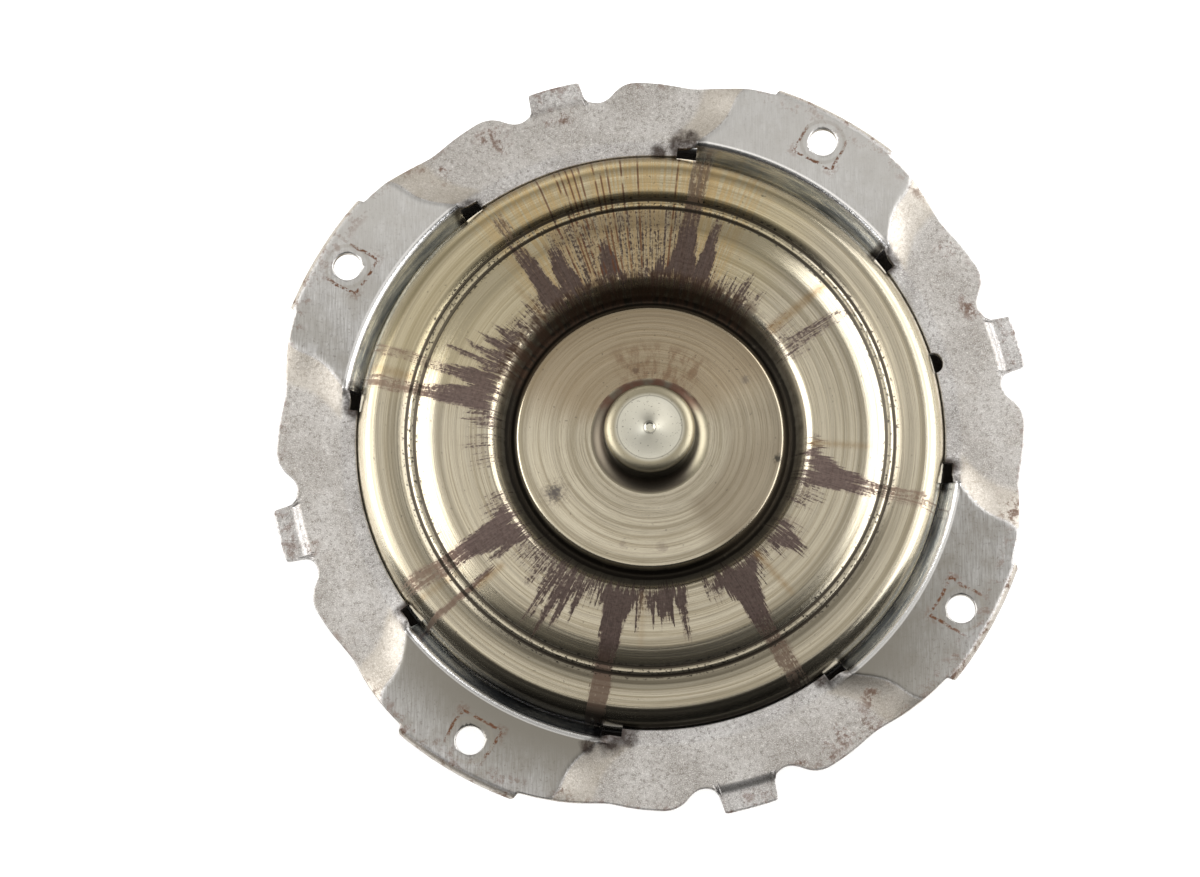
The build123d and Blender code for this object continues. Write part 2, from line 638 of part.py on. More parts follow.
with BuildPart() as turbine_shell:
    with BuildSketch(Plane.XZ):
        with BuildLine():
            upper = EllipticalCenterArc(
                (TORUS_RADIUS, TORUS_HEIGHT), TORUS_WIDE + SHELL_THICK, TORUS_DEEP + SHELL_THICK,
                start_angle=3, arc_size=117)
            lower = EllipticalCenterArc(
                (TORUS_RADIUS, TORUS_HEIGHT), TORUS_WIDE, TORUS_DEEP, start_angle=3, arc_size=120)
            Line(upper @ 0, lower @ 0)
            Polyline(
                upper @ 1, (57, SHELL_FLANGE), (43, SHELL_FLANGE),
                (43, SHELL_FLANGE - SHELL_THICK), (56.5, SHELL_FLANGE - SHELL_THICK), lower @ 1)
        make_face()
    revolve(axis=Axis.Z)
    add(round_holes(HUB_RIVETS, 49, 2.5), mode=Mode.SUBTRACT)
save("turbine_shell", turbine_shell)


def half_section(wide, deep, hole_wide, hole_deep, side):
    """The section of one wheel's half of the circuit, clear of the stator's room."""
    middle = TORUS_HEIGHT + side * WHEEL_GAP
    with BuildSketch(Plane.XZ) as section:
        with Locations((TORUS_RADIUS, TORUS_HEIGHT)):
            Ellipse(wide, deep)
            Ellipse(hole_wide, hole_deep, mode=Mode.SUBTRACT)
        with Locations((TORUS_RADIUS, middle - side * 30)):
            Rectangle(80, 60, mode=Mode.SUBTRACT)
        with Locations((STATOR_ROOM - 20, TORUS_HEIGHT)):
            Rectangle(40, 2 * THROAT_HALF, mode=Mode.SUBTRACT)
    return section.sketch


def blades(count, side, sweep_angle):
    """A wheel's curved sheet blades, cut to the shape of its half of the circuit."""
    section = half_section(
        TORUS_WIDE - BRAZE_GAP, TORUS_DEEP - BRAZE_GAP, CORE_WIDE + BRAZE_GAP,
        CORE_DEEP + BRAZE_GAP, side)
    with BuildPart() as channel:
        add(section)
        revolve(axis=Axis.Z)
    with BuildPart() as blade:
        with BuildSketch(Plane.XY.offset(TORUS_HEIGHT - 30)):
            with BuildLine():
                ThreePointArc(polar(52, 0), polar(80, 0.35 * sweep_angle), polar(106, sweep_angle))
            trace(line_width=BLADE_THICK)
        extrude(amount=60)
        add(channel.part, mode=Mode.INTERSECT)
    with BuildPart() as wheel:
        with PolarLocations(0, count):
            add(blade.part)
    return wheel


def core_ring(side):
    """The thin inner ring that closes a wheel's blades."""
    with BuildPart() as core:
        add(half_section(CORE_WIDE, CORE_DEEP, CORE_WIDE - 1, CORE_DEEP - 1, side))
        revolve(axis=Axis.Z)
    return core


BLADE_THICK = 1.1
save("turbine_blades", blades(29, 1, -14))
save("turbine_core_ring", core_ring(1))

# ---- Impeller: shell, blades, core ring and the hub that drives the oil pump ----
IMPELLER_THICK = 4.0
FLANGE_TOP = -80.0      # the shell's flat rim, between the oil circuit and the sleeve
SLEEVE_TOP = -64.0
with BuildPart() as impeller_shell:
    with BuildSketch(Plane.XZ):
        with BuildLine():
            inner = EllipticalCenterArc(
                (TORUS_RADIUS, TORUS_HEIGHT), TORUS_WIDE, TORUS_DEEP, start_angle=225,
                arc_size=125)
            outer = EllipticalCenterArc(
                (TORUS_RADIUS, TORUS_HEIGHT), TORUS_WIDE + IMPELLER_THICK,
                TORUS_DEEP + IMPELLER_THICK, start_angle=228, arc_size=121.6)
            Polyline(
                inner @ 1, (108.2, FLANGE_TOP), (SLEEVE_BORE, FLANGE_TOP),
                (SLEEVE_BORE, SLEEVE_TOP), (SLEEVE_RADIUS, SLEEVE_TOP),
                (SLEEVE_RADIUS, FLANGE_TOP + 0.5))
            TangentArc(
                (SLEEVE_RADIUS, FLANGE_TOP + 0.5), (SLEEVE_RADIUS - 5, FLANGE_TOP - 4.5),
                tangent=(0, -1))
            Line((SLEEVE_RADIUS - 5, FLANGE_TOP - 4.5), outer @ 1)
            Polyline(outer @ 0, (42, -101), (42, -97), inner @ 0)
        make_face()
    revolve(axis=Axis.Z)
save("impeller_shell", impeller_shell)
save("impeller_blades", blades(31, -1, 12))
save("impeller_core_ring", core_ring(-1))

REAR_RACE_TOP = TORUS_HEIGHT - STATOR_HALF - NEEDLE - 2 * RUNNING
with BuildPart() as pump_hub:
    add(turned([
        (HUB_BORE, REAR_RACE_TOP - RACE), (42, REAR_RACE_TOP - RACE), (42, -101.3), (33, -103),
        (HUB_RADIUS, -107), (HUB_RADIUS, HUB_END + 1.5), (HUB_RADIUS - 1, HUB_END),
        (HUB_BORE + 0.6, HUB_END), (HUB_BORE, HUB_END + 1)]))
    with BuildSketch(Plane.XY.offset(HUB_END)):
        Rectangle(2 * HUB_RADIUS + 4, DRIVE_NOTCH)
        Circle(HUB_BORE - 1, mode=Mode.SUBTRACT)
    extrude(amount=9, mode=Mode.SUBTRACT)
save("pump_hub", pump_hub)

# ---- Stator: a vaned wheel on a one-way clutch ----
RACE_OUTER, RACE_INNER = 43.5, 29.0
ROLLER_SIZE = 3.5
OWC_ROLLERS = 10
OWC_CIRCLE = RACE_INNER + ROLLER_SIZE + 0.03
STATOR_TOP = TORUS_HEIGHT + STATOR_HALF
STATOR_BOTTOM = TORUS_HEIGHT - STATOR_HALF
SIDE_PLATE = 2.0
with BuildPart() as vane:
    with BuildSketch(Plane.YZ.offset(49)):
        with BuildLine():
            Spline(
                (-5.5, STATOR_BOTTOM + 1), (-1.5, TORUS_HEIGHT + 1), (6.5, STATOR_TOP - 1.5),
                tangents=((0, 1), (1, 0.8)))
            ThreePointArc(
                (6.5, STATOR_TOP - 1.5), (7.4, STATOR_TOP - 2.2), (6.8, STATOR_TOP - 3.2))
            Spline(
                (6.8, STATOR_TOP - 3.2), (1.8, TORUS_HEIGHT - 0.5), (-5.0, STATOR_BOTTOM + 1),
                tangents=((-0.9, -1), (-0.1, -1)))
            Line((-5.0, STATOR_BOTTOM + 1), (-5.5, STATOR_BOTTOM + 1))
        make_face()
    extrude(amount=18)
    add(ring(48, 65.5, STATOR_BOTTOM, STATOR_TOP), mode=Mode.INTERSECT)

with BuildPart() as stator_wheel:
    add(ring(RACE_OUTER, 50, STATOR_BOTTOM, STATOR_TOP))
    add(ring(64.5, 66.5, STATOR_BOTTOM + 1, STATOR_TOP - 1))
    with PolarLocations(0, STATOR_VANES):
        add(vane.part)
save("stator_wheel", stator_wheel)

with BuildSketch() as clutch_pockets:
    with PolarLocations(OWC_CIRCLE, OWC_ROLLERS):
        Circle(ROLLER_SIZE + 0.03)
        with Locations((0.9, 3.2)):
            Rectangle(5.2, 6.4)
        with Locations((-0.3, 8.6)):
            Rectangle(4.8, 7.0)
with BuildPart() as clutch_outer_race:
    with BuildSketch(Plane.XY.offset(STATOR_BOTTOM + SIDE_PLATE)):
        Circle(RACE_OUTER - 0.02)
        Circle(RACE_INNER + 1.6, mode=Mode.SUBTRACT)
        add(clutch_pockets.sketch, mode=Mode.SUBTRACT)
    extrude(amount=2 * (STATOR_HALF - SIDE_PLATE))
save("clutch_outer_race", clutch_outer_race)

with BuildPart() as clutch_rollers:
    with BuildSketch(Plane.XY.offset(STATOR_BOTTOM + SIDE_PLATE + 0.4)):
        with PolarLocations(OWC_CIRCLE, OWC_ROLLERS):
            Circle(ROLLER_SIZE)
    extrude(amount=2 * (STATOR_HALF - SIDE_PLATE) - 0.8)
save("clutch_rollers", clutch_rollers)



def fold_spring():
    """A folded strip spring, seen from above, in its pocket beside a roller on +X."""
    folds = [(1.6 * (-1) ** step, 4.2 + step * 1.2) for step in range(6)]
    with BuildSketch() as strip:
        with BuildLine():
            Polyline(*folds)
        trace(line_width=0.35)
    return strip.sketch


with BuildPart() as clutch_springs:
    with BuildSketch(Plane.XY.offset(TORUS_HEIGHT - 5)):
        with PolarLocations(OWC_CIRCLE, OWC_ROLLERS):
            add(fold_spring())
    extrude(amount=10)
save("clutch_springs", clutch_springs)

with BuildPart() as stator_side_plates:
    add(ring(RACE_INNER + 0.6, RACE_OUTER - 0.02, STATOR_TOP - SIDE_PLATE + 0.02, STATOR_TOP))
    add(ring(RACE_INNER + 0.6, RACE_OUTER - 0.02, STATOR_BOTTOM, STATOR_BOTTOM + SIDE_PLATE - 0.02))
save("stator_side_plates", stator_side_plates)

with BuildPart() as clutch_inner_race:
    add(ring(20, RACE_INNER, STATOR_BOTTOM + 0.3, STATOR_TOP - 0.3))
    add(teeth(36, 18, 21.2, 5, STATOR_BOTTOM, STATOR_TOP), mode=Mode.SUBTRACT)
save("clutch_inner_race", clutch_inner_race)

# ---- Three thrust bearings: needles in a cage, on a hardened race ----
for place, face, inner, outer, count in (
        ("front", PILOT_INNER_END, 17.0, 25.0, 22),
        ("middle", HUB_BOSS, 31.0, 42.0, 32),
        ("rear", STATOR_BOTTOM, 31.0, 41.5, 32)):
    axis_height = face - RUNNING - NEEDLE / 2
    race_top = face - NEEDLE - 2 * RUNNING
    with BuildPart() as race:
        add(ring(inner, outer, race_top - RACE, race_top))
    save(f"{place}_bearing_race", race)
    with BuildPart() as cage:
        add(ring(inner + 0.2, outer - 0.2, axis_height - 0.9, axis_height + 0.9))
        with BuildSketch(Plane.XY.offset(axis_height - 2)):
            with PolarLocations((inner + outer) / 2, count):
                Rectangle(outer - inner - 2.6, NEEDLE + 0.12)
        extrude(amount=4, mode=Mode.SUBTRACT)
    save(f"{place}_bearing_cage", cage)
    with BuildPart() as needle:
        with BuildSketch(Plane.YZ.offset(inner + 1.4)):
            with Locations((0, axis_height)):
                Circle(NEEDLE / 2)
        extrude(amount=outer - inner - 2.8)
    with BuildPart() as needles:
        with PolarLocations(0, count):
            add(needle.part)
    save(f"{place}_bearing_needles", needles)
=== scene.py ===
"""The looks of a torque converter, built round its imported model. Lengths in MM unless they say so."""

import json
from math import atan2, cos, degrees, pi, radians, sin, sqrt

import bmesh
import bpy
import numpy as np
from mathutils import Matrix, Vector


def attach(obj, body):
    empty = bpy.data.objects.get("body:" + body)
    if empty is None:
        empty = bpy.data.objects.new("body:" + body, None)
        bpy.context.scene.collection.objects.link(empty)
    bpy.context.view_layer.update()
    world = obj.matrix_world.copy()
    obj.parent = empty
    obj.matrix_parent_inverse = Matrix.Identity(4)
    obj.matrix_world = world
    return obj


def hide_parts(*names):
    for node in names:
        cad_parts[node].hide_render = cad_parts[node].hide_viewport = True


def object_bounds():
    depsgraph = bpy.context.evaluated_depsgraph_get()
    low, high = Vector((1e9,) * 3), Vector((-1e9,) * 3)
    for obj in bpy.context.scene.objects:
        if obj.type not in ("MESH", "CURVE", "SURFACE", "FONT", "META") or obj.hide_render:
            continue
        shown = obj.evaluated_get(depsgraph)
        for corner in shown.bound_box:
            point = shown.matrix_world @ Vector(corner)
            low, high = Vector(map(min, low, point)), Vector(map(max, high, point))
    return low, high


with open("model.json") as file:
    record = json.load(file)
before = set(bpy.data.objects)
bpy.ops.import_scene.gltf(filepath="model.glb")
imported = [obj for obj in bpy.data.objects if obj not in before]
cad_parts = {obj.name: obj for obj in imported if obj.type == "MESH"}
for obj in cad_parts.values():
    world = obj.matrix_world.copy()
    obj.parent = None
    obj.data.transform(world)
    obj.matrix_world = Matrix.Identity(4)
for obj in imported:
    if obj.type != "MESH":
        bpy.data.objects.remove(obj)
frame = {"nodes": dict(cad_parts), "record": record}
cad_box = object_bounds()

MM = 0.001

# ---- Sizes that the visible pieces share with the CAD model, in millimetres and degrees ----
COVER_RADIUS = 118.5
COVER_END = -72.0
WALL_RADIUS = 130.0
WALL_BORE = 125.5
PLATEAU = -1.7
PILOT_BASE = 24.0
PAD_ANGLES = [60 + 90 * step for step in range(4)]
BOLT_CIRCLE = 142.5
SHEET = 3.0
SEGMENT_DROP = 3.4
TAB_DROP = 2.2
COLLAR_HALF = 20.8
SLOT_ANGLE = 3.8


# ---- Geometry helpers ----
def polar(radius, angle):
    return radius * cos(radians(angle)), radius * sin(radians(angle))


def smooth(low, high, value):
    """0 below low, 1 above high and an S between them."""
    t = min(max((value - low) / (high - low), 0.0), 1.0)
    return t * t * (3 - 2 * t)


def between(table, value):
    """Reads a table of (x, y) pairs at x, with straight lines between its rows."""
    if value <= table[0][0]:
        return table[0][1]
    for (x0, y0), (x1, y1) in zip(table, table[1:]):
        if value <= x1:
            return y0 + (y1 - y0) * (value - x0) / (x1 - x0)
    return table[-1][1]


def spline(points, start=None, end=None, steps=8):
    """A smooth line through points with an even change of curvature; its end directions may be set."""
    points = np.array(points, float)
    count = len(points)
    gaps = np.linalg.norm(np.diff(points, axis=0), axis=1)
    rates = np.diff(points, axis=0) / gaps[:, None]
    system, answer = np.zeros((count, count)), np.zeros((count, 2))
    for i in range(1, count - 1):
        system[i, i - 1:i + 2] = gaps[i], 2 * (gaps[i - 1] + gaps[i]), gaps[i - 1]
        answer[i] = 3 * (gaps[i] * rates[i - 1] + gaps[i - 1] * rates[i])
    for i, near, rate, direction in ((0, 1, rates[0], start), (count - 1, count - 2, rates[-1], end)):
        if direction is None:
            system[i, i], system[i, near], answer[i] = 2, 1, 3 * rate
        else:
            system[i, i], answer[i] = 1, np.array(direction) / np.linalg.norm(direction)
    slopes = np.linalg.solve(system, answer)
    line = []
    for i in range(count - 1):
        for step in range(steps):
            t = step / steps
            line.append(tuple(
                (2 * t ** 3 - 3 * t * t + 1) * points[i] + (3 * t * t - 2 * t ** 3) * points[i + 1]
                + gaps[i] * ((t ** 3 - 2 * t * t + t) * slopes[i] + (t ** 3 - t * t) * slopes[i + 1])))
    return line + [tuple(points[-1])]


def rounded(corners, closed=True, step=10.0):
    """An outline from (radius, height, rounding) corners, its arcs divided every few degrees."""
    count = len(corners)
    line = []
    for index, (x, y, radius) in enumerate(corners):
        here = Vector((x, y))
        if radius <= 0 or (not closed and index in (0, count - 1)):
            line.append((x, y))
            continue
        before = (Vector(corners[index - 1][:2]) - here).normalized()
        after = (Vector(corners[(index + 1) % count][:2]) - here).normalized()
        turn = pi - before.angle(after)
        if turn < radians(0.5):
            line.append((x, y))
            continue
        reach = radius / (1 / max(1e-9, sin(turn / 2) / cos(turn / 2)))
        start, end = here + before * reach, here + after * reach
        middle = here + (before + after).normalized() * (radius / cos(turn / 2))
        pieces = max(3, int(degrees(turn) / step) + 1)
        a0 = atan2(start.y - middle.y, start.x - middle.x)
        a1 = atan2(end.y - middle.y, end.x - middle.x)
        sweep = (a1 - a0 + pi) % (2 * pi) - pi
        for piece in range(pieces + 1):
            angle = a0 + sweep * piece / pieces
            line.append((middle.x + radius * cos(angle), middle.y + radius * sin(angle)))
    return line


def make_object(name, verts, faces, sharp=35.0):
    """A smooth-shaded mesh object, its vertices given in millimetres."""
    mesh = bpy.data.meshes.new(name)
    mesh.from_pydata([(x * MM, y * MM, z * MM) for x, y, z in verts], [], faces)
    mesh.validate()
    work = bmesh.new()
    work.from_mesh(mesh)
    bmesh.ops.remove_doubles(work, verts=work.verts, dist=1e-7)
    bmesh.ops.recalc_face_normals(work, faces=work.faces)
    work.to_mesh(mesh)
    work.free()
    mesh.shade_smooth()
    mesh.set_sharp_from_angle(angle=radians(sharp))
    piece = bpy.data.objects.new(name, mesh)
    bpy.context.scene.collection.objects.link(piece)
    return piece


def lathe(name, outline, segments=360, sharp=35.0, warp=None):
    """A closed outline turned about the axis; warp may move each (radius, height, angle)."""
    count = len(outline)
    verts, faces = [], []
    for column in range(segments):
        angle = 360 * column / segments
        for radius, height in outline:
            if warp:
                radius, height = warp(radius, height, angle)
            verts.append((*polar(radius, angle), height))
    for column in range(segments):
        left, right = column * count, (column + 1) % segments * count
        for row in range(count):
            after = (row + 1) % count
            if outline[row][0] < 1e-6 and outline[after][0] < 1e-6:
                continue
            faces.append((left + row, right + row, right + after, left + after))
    return make_object(name, verts, faces, sharp)


# ---- Material helpers ----
class Graph:
    """One procedural material. A value may be a number, a colour or another node's output."""

    def __init__(self, name, metallic=1.0, **shader_values):
        self.material = bpy.data.materials.new(name)
        self.material.use_nodes = True
        self.tree = self.material.node_tree
        self.shader = self.tree.nodes["Principled BSDF"]
        self.shader.inputs["Metallic"].default_value = metallic
        for key, value in shader_values.items():
            self.shader.inputs[key.replace("_", " ")].default_value = value
        self.position = self.tree.nodes.new("ShaderNodeTexCoord").outputs["Object"]
        split = self.tree.nodes.new("ShaderNodeSeparateXYZ")
        self.tree.links.new(self.position, split.inputs[0])
        self.x = self.math("MULTIPLY", split.outputs[0], 1000.0)
        self.y = self.math("MULTIPLY", split.outputs[1], 1000.0)
        self.z = self.math("MULTIPLY", split.outputs[2], 1000.0)
        self.radius = self.math(
            "SQRT", self.math("ADD", self.math("MULTIPLY", self.x, self.x),
                              self.math("MULTIPLY", self.y, self.y)))
        self.angle = self.math("ARCTAN2", self.y, self.x)

    def put(self, value, socket):
        if isinstance(value, bpy.types.NodeSocket):
            self.tree.links.new(value, socket)
        elif isinstance(value, (tuple, list)) and len(socket.default_value) == 4:
            socket.default_value = (*value[:3], 1.0)
        else:
            socket.default_value = value

    def math(self, operation, a, b=0.0, c=0.0, clamp=False):
        node = self.tree.nodes.new("ShaderNodeMath")
        node.operation, node.use_clamp = operation, clamp
        for value, socket in zip((a, b, c), node.inputs):
            self.put(value, socket)
        return node.outputs[0]

    def add(self, a, b):
        return self.math("ADD", a, b)

    def times(self, a, b):
        return self.math("MULTIPLY", a, b)

    def larger(self, a, b):
        return self.math("MAXIMUM", a, b)

    def step(self, value, low, high):
        """0 at low and 1 at high, with an S between; low may be the larger."""
        node = self.tree.nodes.new("ShaderNodeMapRange")
        node.interpolation_type, node.clamp = "SMOOTHSTEP", False
        flip = low > high
        numbers = (high, low, 1.0, 0.0) if flip else (low, high, 0.0, 1.0)
        self.put(value, node.inputs["Value"])
        for key, number in zip(("From Min", "From Max", "To Min", "To Max"), numbers):
            node.inputs[key].default_value = number
        return node.outputs[0]

    def band(self, value, low, high, edge):
        """1 between low and high, fading out over an edge on both sides."""
        return self.times(self.step(value, low - edge, low), self.step(value, high + edge, high))

    def vector(self, x, y=0.0, z=0.0):
        node = self.tree.nodes.new("ShaderNodeCombineXYZ")
        for value, socket in zip((x, y, z), node.inputs):
            self.put(value, socket)
        return node.outputs[0]

    def noise(self, vector, scale, detail=3.0, roughness=0.55, distortion=0.0):
        node = self.tree.nodes.new("ShaderNodeTexNoise")
        self.put(vector, node.inputs["Vector"])
        node.inputs["Scale"].default_value = scale
        node.inputs["Detail"].default_value = detail
        node.inputs["Roughness"].default_value = roughness
        node.inputs["Distortion"].default_value = distortion
        return node.outputs["Fac"]

    def mix(self, factor, a, b):
        node = self.tree.nodes.new("ShaderNodeMix")
        node.data_type = "RGBA"
        self.put(factor, node.inputs[0])
        self.put(a, node.inputs[6])
        self.put(b, node.inputs[7])
        return node.outputs[2]

    def blend(self, factor, a, b):
        """A number that goes from a to b."""
        node = self.tree.nodes.new("ShaderNodeMix")
        self.put(factor, node.inputs[0])
        self.put(a, node.inputs[2])
        self.put(b, node.inputs[3])
        return node.outputs[0]

    def beside(self, angle):
        """How far a point is along the radius at an angle, and to its left."""
        dx, dy = polar(1.0, angle)
        return (self.add(self.times(self.x, dx), self.times(self.y, dy)),
                self.add(self.times(self.x, -dy), self.times(self.y, dx)))

    def away(self, radius, angle):
        """The distance from a point of the plan."""
        px, py = polar(radius, angle)
        dx, dy = self.add(self.x, -px), self.add(self.y, -py)
        return self.math("SQRT", self.add(self.times(dx, dx), self.times(dy, dy)))

    def around(self, spread, along=1.0, up=0.0):
        """Coordinates on a ring: the angle stretched by spread, and the radius."""
        return self.vector(
            self.times(self.math("COSINE", self.angle), spread),
            self.times(self.math("SINE", self.angle), spread),
            self.add(self.times(self.radius, along), self.times(self.z, up)))

    def finish(self, colour, roughness, *bumps):
        """Ends the material; each bump is (height, strength, distance in millimetres)."""
        self.put(colour, self.shader.inputs["Base Color"])
        self.put(roughness, self.shader.inputs["Roughness"])
        normal = None
        for height, strength, distance in bumps:
            node = self.tree.nodes.new("ShaderNodeBump")
            self.put(strength, node.inputs["Strength"])
            node.inputs["Distance"].default_value = distance * MM
            self.put(height, node.inputs["Height"])
            if normal:
                self.put(normal, node.inputs["Normal"])
            normal = node.outputs[0]
        if normal:
            self.put(normal, self.shader.inputs["Normal"])
        return self.material


# ---- Front cover ----
def streak(graph, flames, drift, angle, half, flare, start, end, strength, outer, lean=0.0):
    """A dried run of oil along one radius, wide and flame-shaped at its inner end: how dense it is."""
    along, across = graph.beside(angle)
    reach = graph.math("SUBTRACT", along, flames)
    spread = graph.math("EXPONENT", graph.times(graph.add(reach, -65.5), -1 / 6.0))
    spread = graph.math("MINIMUM", spread, 1.3)
    across = graph.add(graph.add(across, drift), graph.times(spread, -flare * lean))
    wide = graph.add(graph.times(spread, flare), half)
    side = graph.step(graph.math("SUBTRACT", wide, graph.math("ABSOLUTE", across)), -2.0, 1.4)
    ends = graph.times(graph.step(reach, start - 2.5, start + 0.5), graph.step(reach, end + 2.0, end - 6.0))
    fade = graph.blend(graph.step(graph.radius, 76.0, 94.0), strength, outer)
    return graph.times(graph.times(side, ends), fade)


# angle, half width, flare, first and last radius, strength inside and outside, lean
RUNS = [
    (-146.9, 3.9, 5.0, 63.5, 119, 1.00, 0.62, 0.25), (-141.0, 0.6, 2.2, 63.5, 84, 0.80, 0.30),
    (-138.7, 0.9, 1.6, 84.0, 121, 0.95, 0.95), (-128.5, 1.2, 4.0, 63.5, 80, 0.56, 0.40),
    (-123.5, 1.4, 3.6, 63.0, 97, 0.66, 0.50), (-119.6, 1.6, 3.2, 63.0, 96, 0.72, 0.52),
    (-116.6, 0.9, 3.6, 62.5, 90, 0.80, 0.48), (-112.9, 0.6, 3.2, 63.0, 82, 0.74, 0.40),
    (-101.0, 4.0, 4.4, 63.0, 121, 1.06, 0.74), (-94.2, 0.5, 2.6, 63.5, 84, 0.60, 0.40),
    (-89.4, 0.5, 2.2, 64.0, 78, 0.76, 0.20), (-85.0, 1.3, 4.4, 63.0, 79, 0.92, 0.20),
    (-79.8, 0.7, 2.0, 63.5, 88, 0.84, 0.50), (-59.6, 3.9, 7.0, 63.0, 121, 1.04, 0.62),
    (-47.5, 0.3, 1.6, 64.0, 72, 0.60, 0.10), (-38.6, 1.1, 5.0, 63.5, 79, 0.86, 0.20),
    (-14.6, 3.6, 5.2, 64.0, 119, 1.00, 0.52, 0.8), (-7.0, 0.3, 1.8, 64.0, 71, 0.62, 0.10),
    (32.6, 2.4, 2.4, 64.0, 98, 0.60, 0.50), (57.0, 1.2, 4.0, 65.5, 77, 0.56, 0.10),
    (66.0, 0.3, 2.6, 64.0, 72, 0.60, 0.10), (72.2, 2.2, 1.8, 63.5, 97, 0.88, 0.50),
    (79.3, 3.6, 4.4, 63.5, 121, 1.00, 0.62), (86.2, 0.8, 3.4, 63.5, 76, 0.74, 0.10),
    (91.0, 0.4, 2.6, 63.5, 72, 0.62, 0.10), (103.2, 2.0, 4.4, 64.5, 84, 0.84, 0.30),
    (110.4, 1.2, 1.2, 67.0, 95, 0.62, 0.44), (117.3, 3.2, 1.8, 65.0, 91, 0.92, 0.46),
    (124.9, 3.0, 2.2, 63.5, 98, 0.96, 0.66), (124.6, 2.6, 0.4, 99.0, 113, 0.60, 0.56),
    (144.5, 0.6, 4.6, 64.0, 76, 0.72, 0.10), (148.4, 0.6, 4.2, 64.0, 80, 0.74, 0.20),
    (152.6, 0.7, 3.6, 64.0, 86, 0.70, 0.36), (156.0, 1.0, 4.2, 64.0, 93, 0.76, 0.46),
    (161.6, 2.2, 2.4, 64.0, 119, 0.90, 0.54), (168.6, 3.0, 5.0, 63.5, 119, 0.98, 0.60, -0.8),
    (175.5, 0.4, 3.0, 64.0, 74, 0.66, 0.10)]
# angle, half width, first and last radius and strength of each thin rusty run
THIN_RUNS = [
    (-49.3, 0.5, 65, 88, 0.7), (-3.8, 0.5, 65, 90, 0.6), (41.0, 1.3, 65, 98, 0.7), (131.5, 0.6, 64, 84, 0.5),
    (-92.5, 0.5, 66, 88, 0.35), (-137.6, 0.8, 80, 96, 0.6), (-143.6, 0.9, 95, 119, 0.4),
    (166.0, 1.4, 98, 119, 0.5), (77.0, 1.0, 98, 119, 0.3)]
# radius, angle, size, strength and colour of each spot
SPOTS = [
    (45.0, -149.0, 4.2, 0.85, (0.045, 0.05, 0.075)), (45.0, -149.0, 8.0, 0.35, (0.2, 0.16, 0.12)),
    (52.5, -10.5, 2.6, 0.8, (0.03, 0.03, 0.03)), (28.0, 102.0, 2.0, 0.6, (0.12, 0.07, 0.05)),
    (46.0, -84.0, 3.0, 0.35, (0.16, 0.11, 0.10)), (45.0, 31.0, 2.4, 0.45, (0.14, 0.12, 0.12)),
    (46.0, -104.0, 2.2, 0.3, (0.16, 0.11, 0.10))]
# first and last radius, edge and strength of each darker turned band
BANDS = [(98.6, 101.6, 0.8, 0.5), (84.0, 87.2, 1.2, 0.3), (112.0, 112.6, 0.5, 0.55),
         (103.0, 105.4, 1.0, 0.22), (73.0, 74.2, 0.6, 0.15), (78.0, 78.8, 0.4, 0.18),
         (26.0, 33.0, 2.0, 0.15), (38.0, 40.0, 1.0, 0.12), (50.0, 52.0, 1.0, 0.22),
         (109.4, 110.2, 0.4, 0.2)]
# first and last angle of each part of the shelf that is speckled with fine runs, and how densely
SPECKLED = [(-157, -84, 0.50), (-70, -50, 0.48), (-25, -8, 0.50), (-43, -33, 0.50), (28, 42, 0.42),
            (52, 176, 0.52), (-179, -170, 0.44)]
DARK_THREADS = [84.0, 92.5, 96.0, 99.0, 100.5, 101.8, 104.7, 106.0, 107.3, 108.6, 109.7, 113.5]


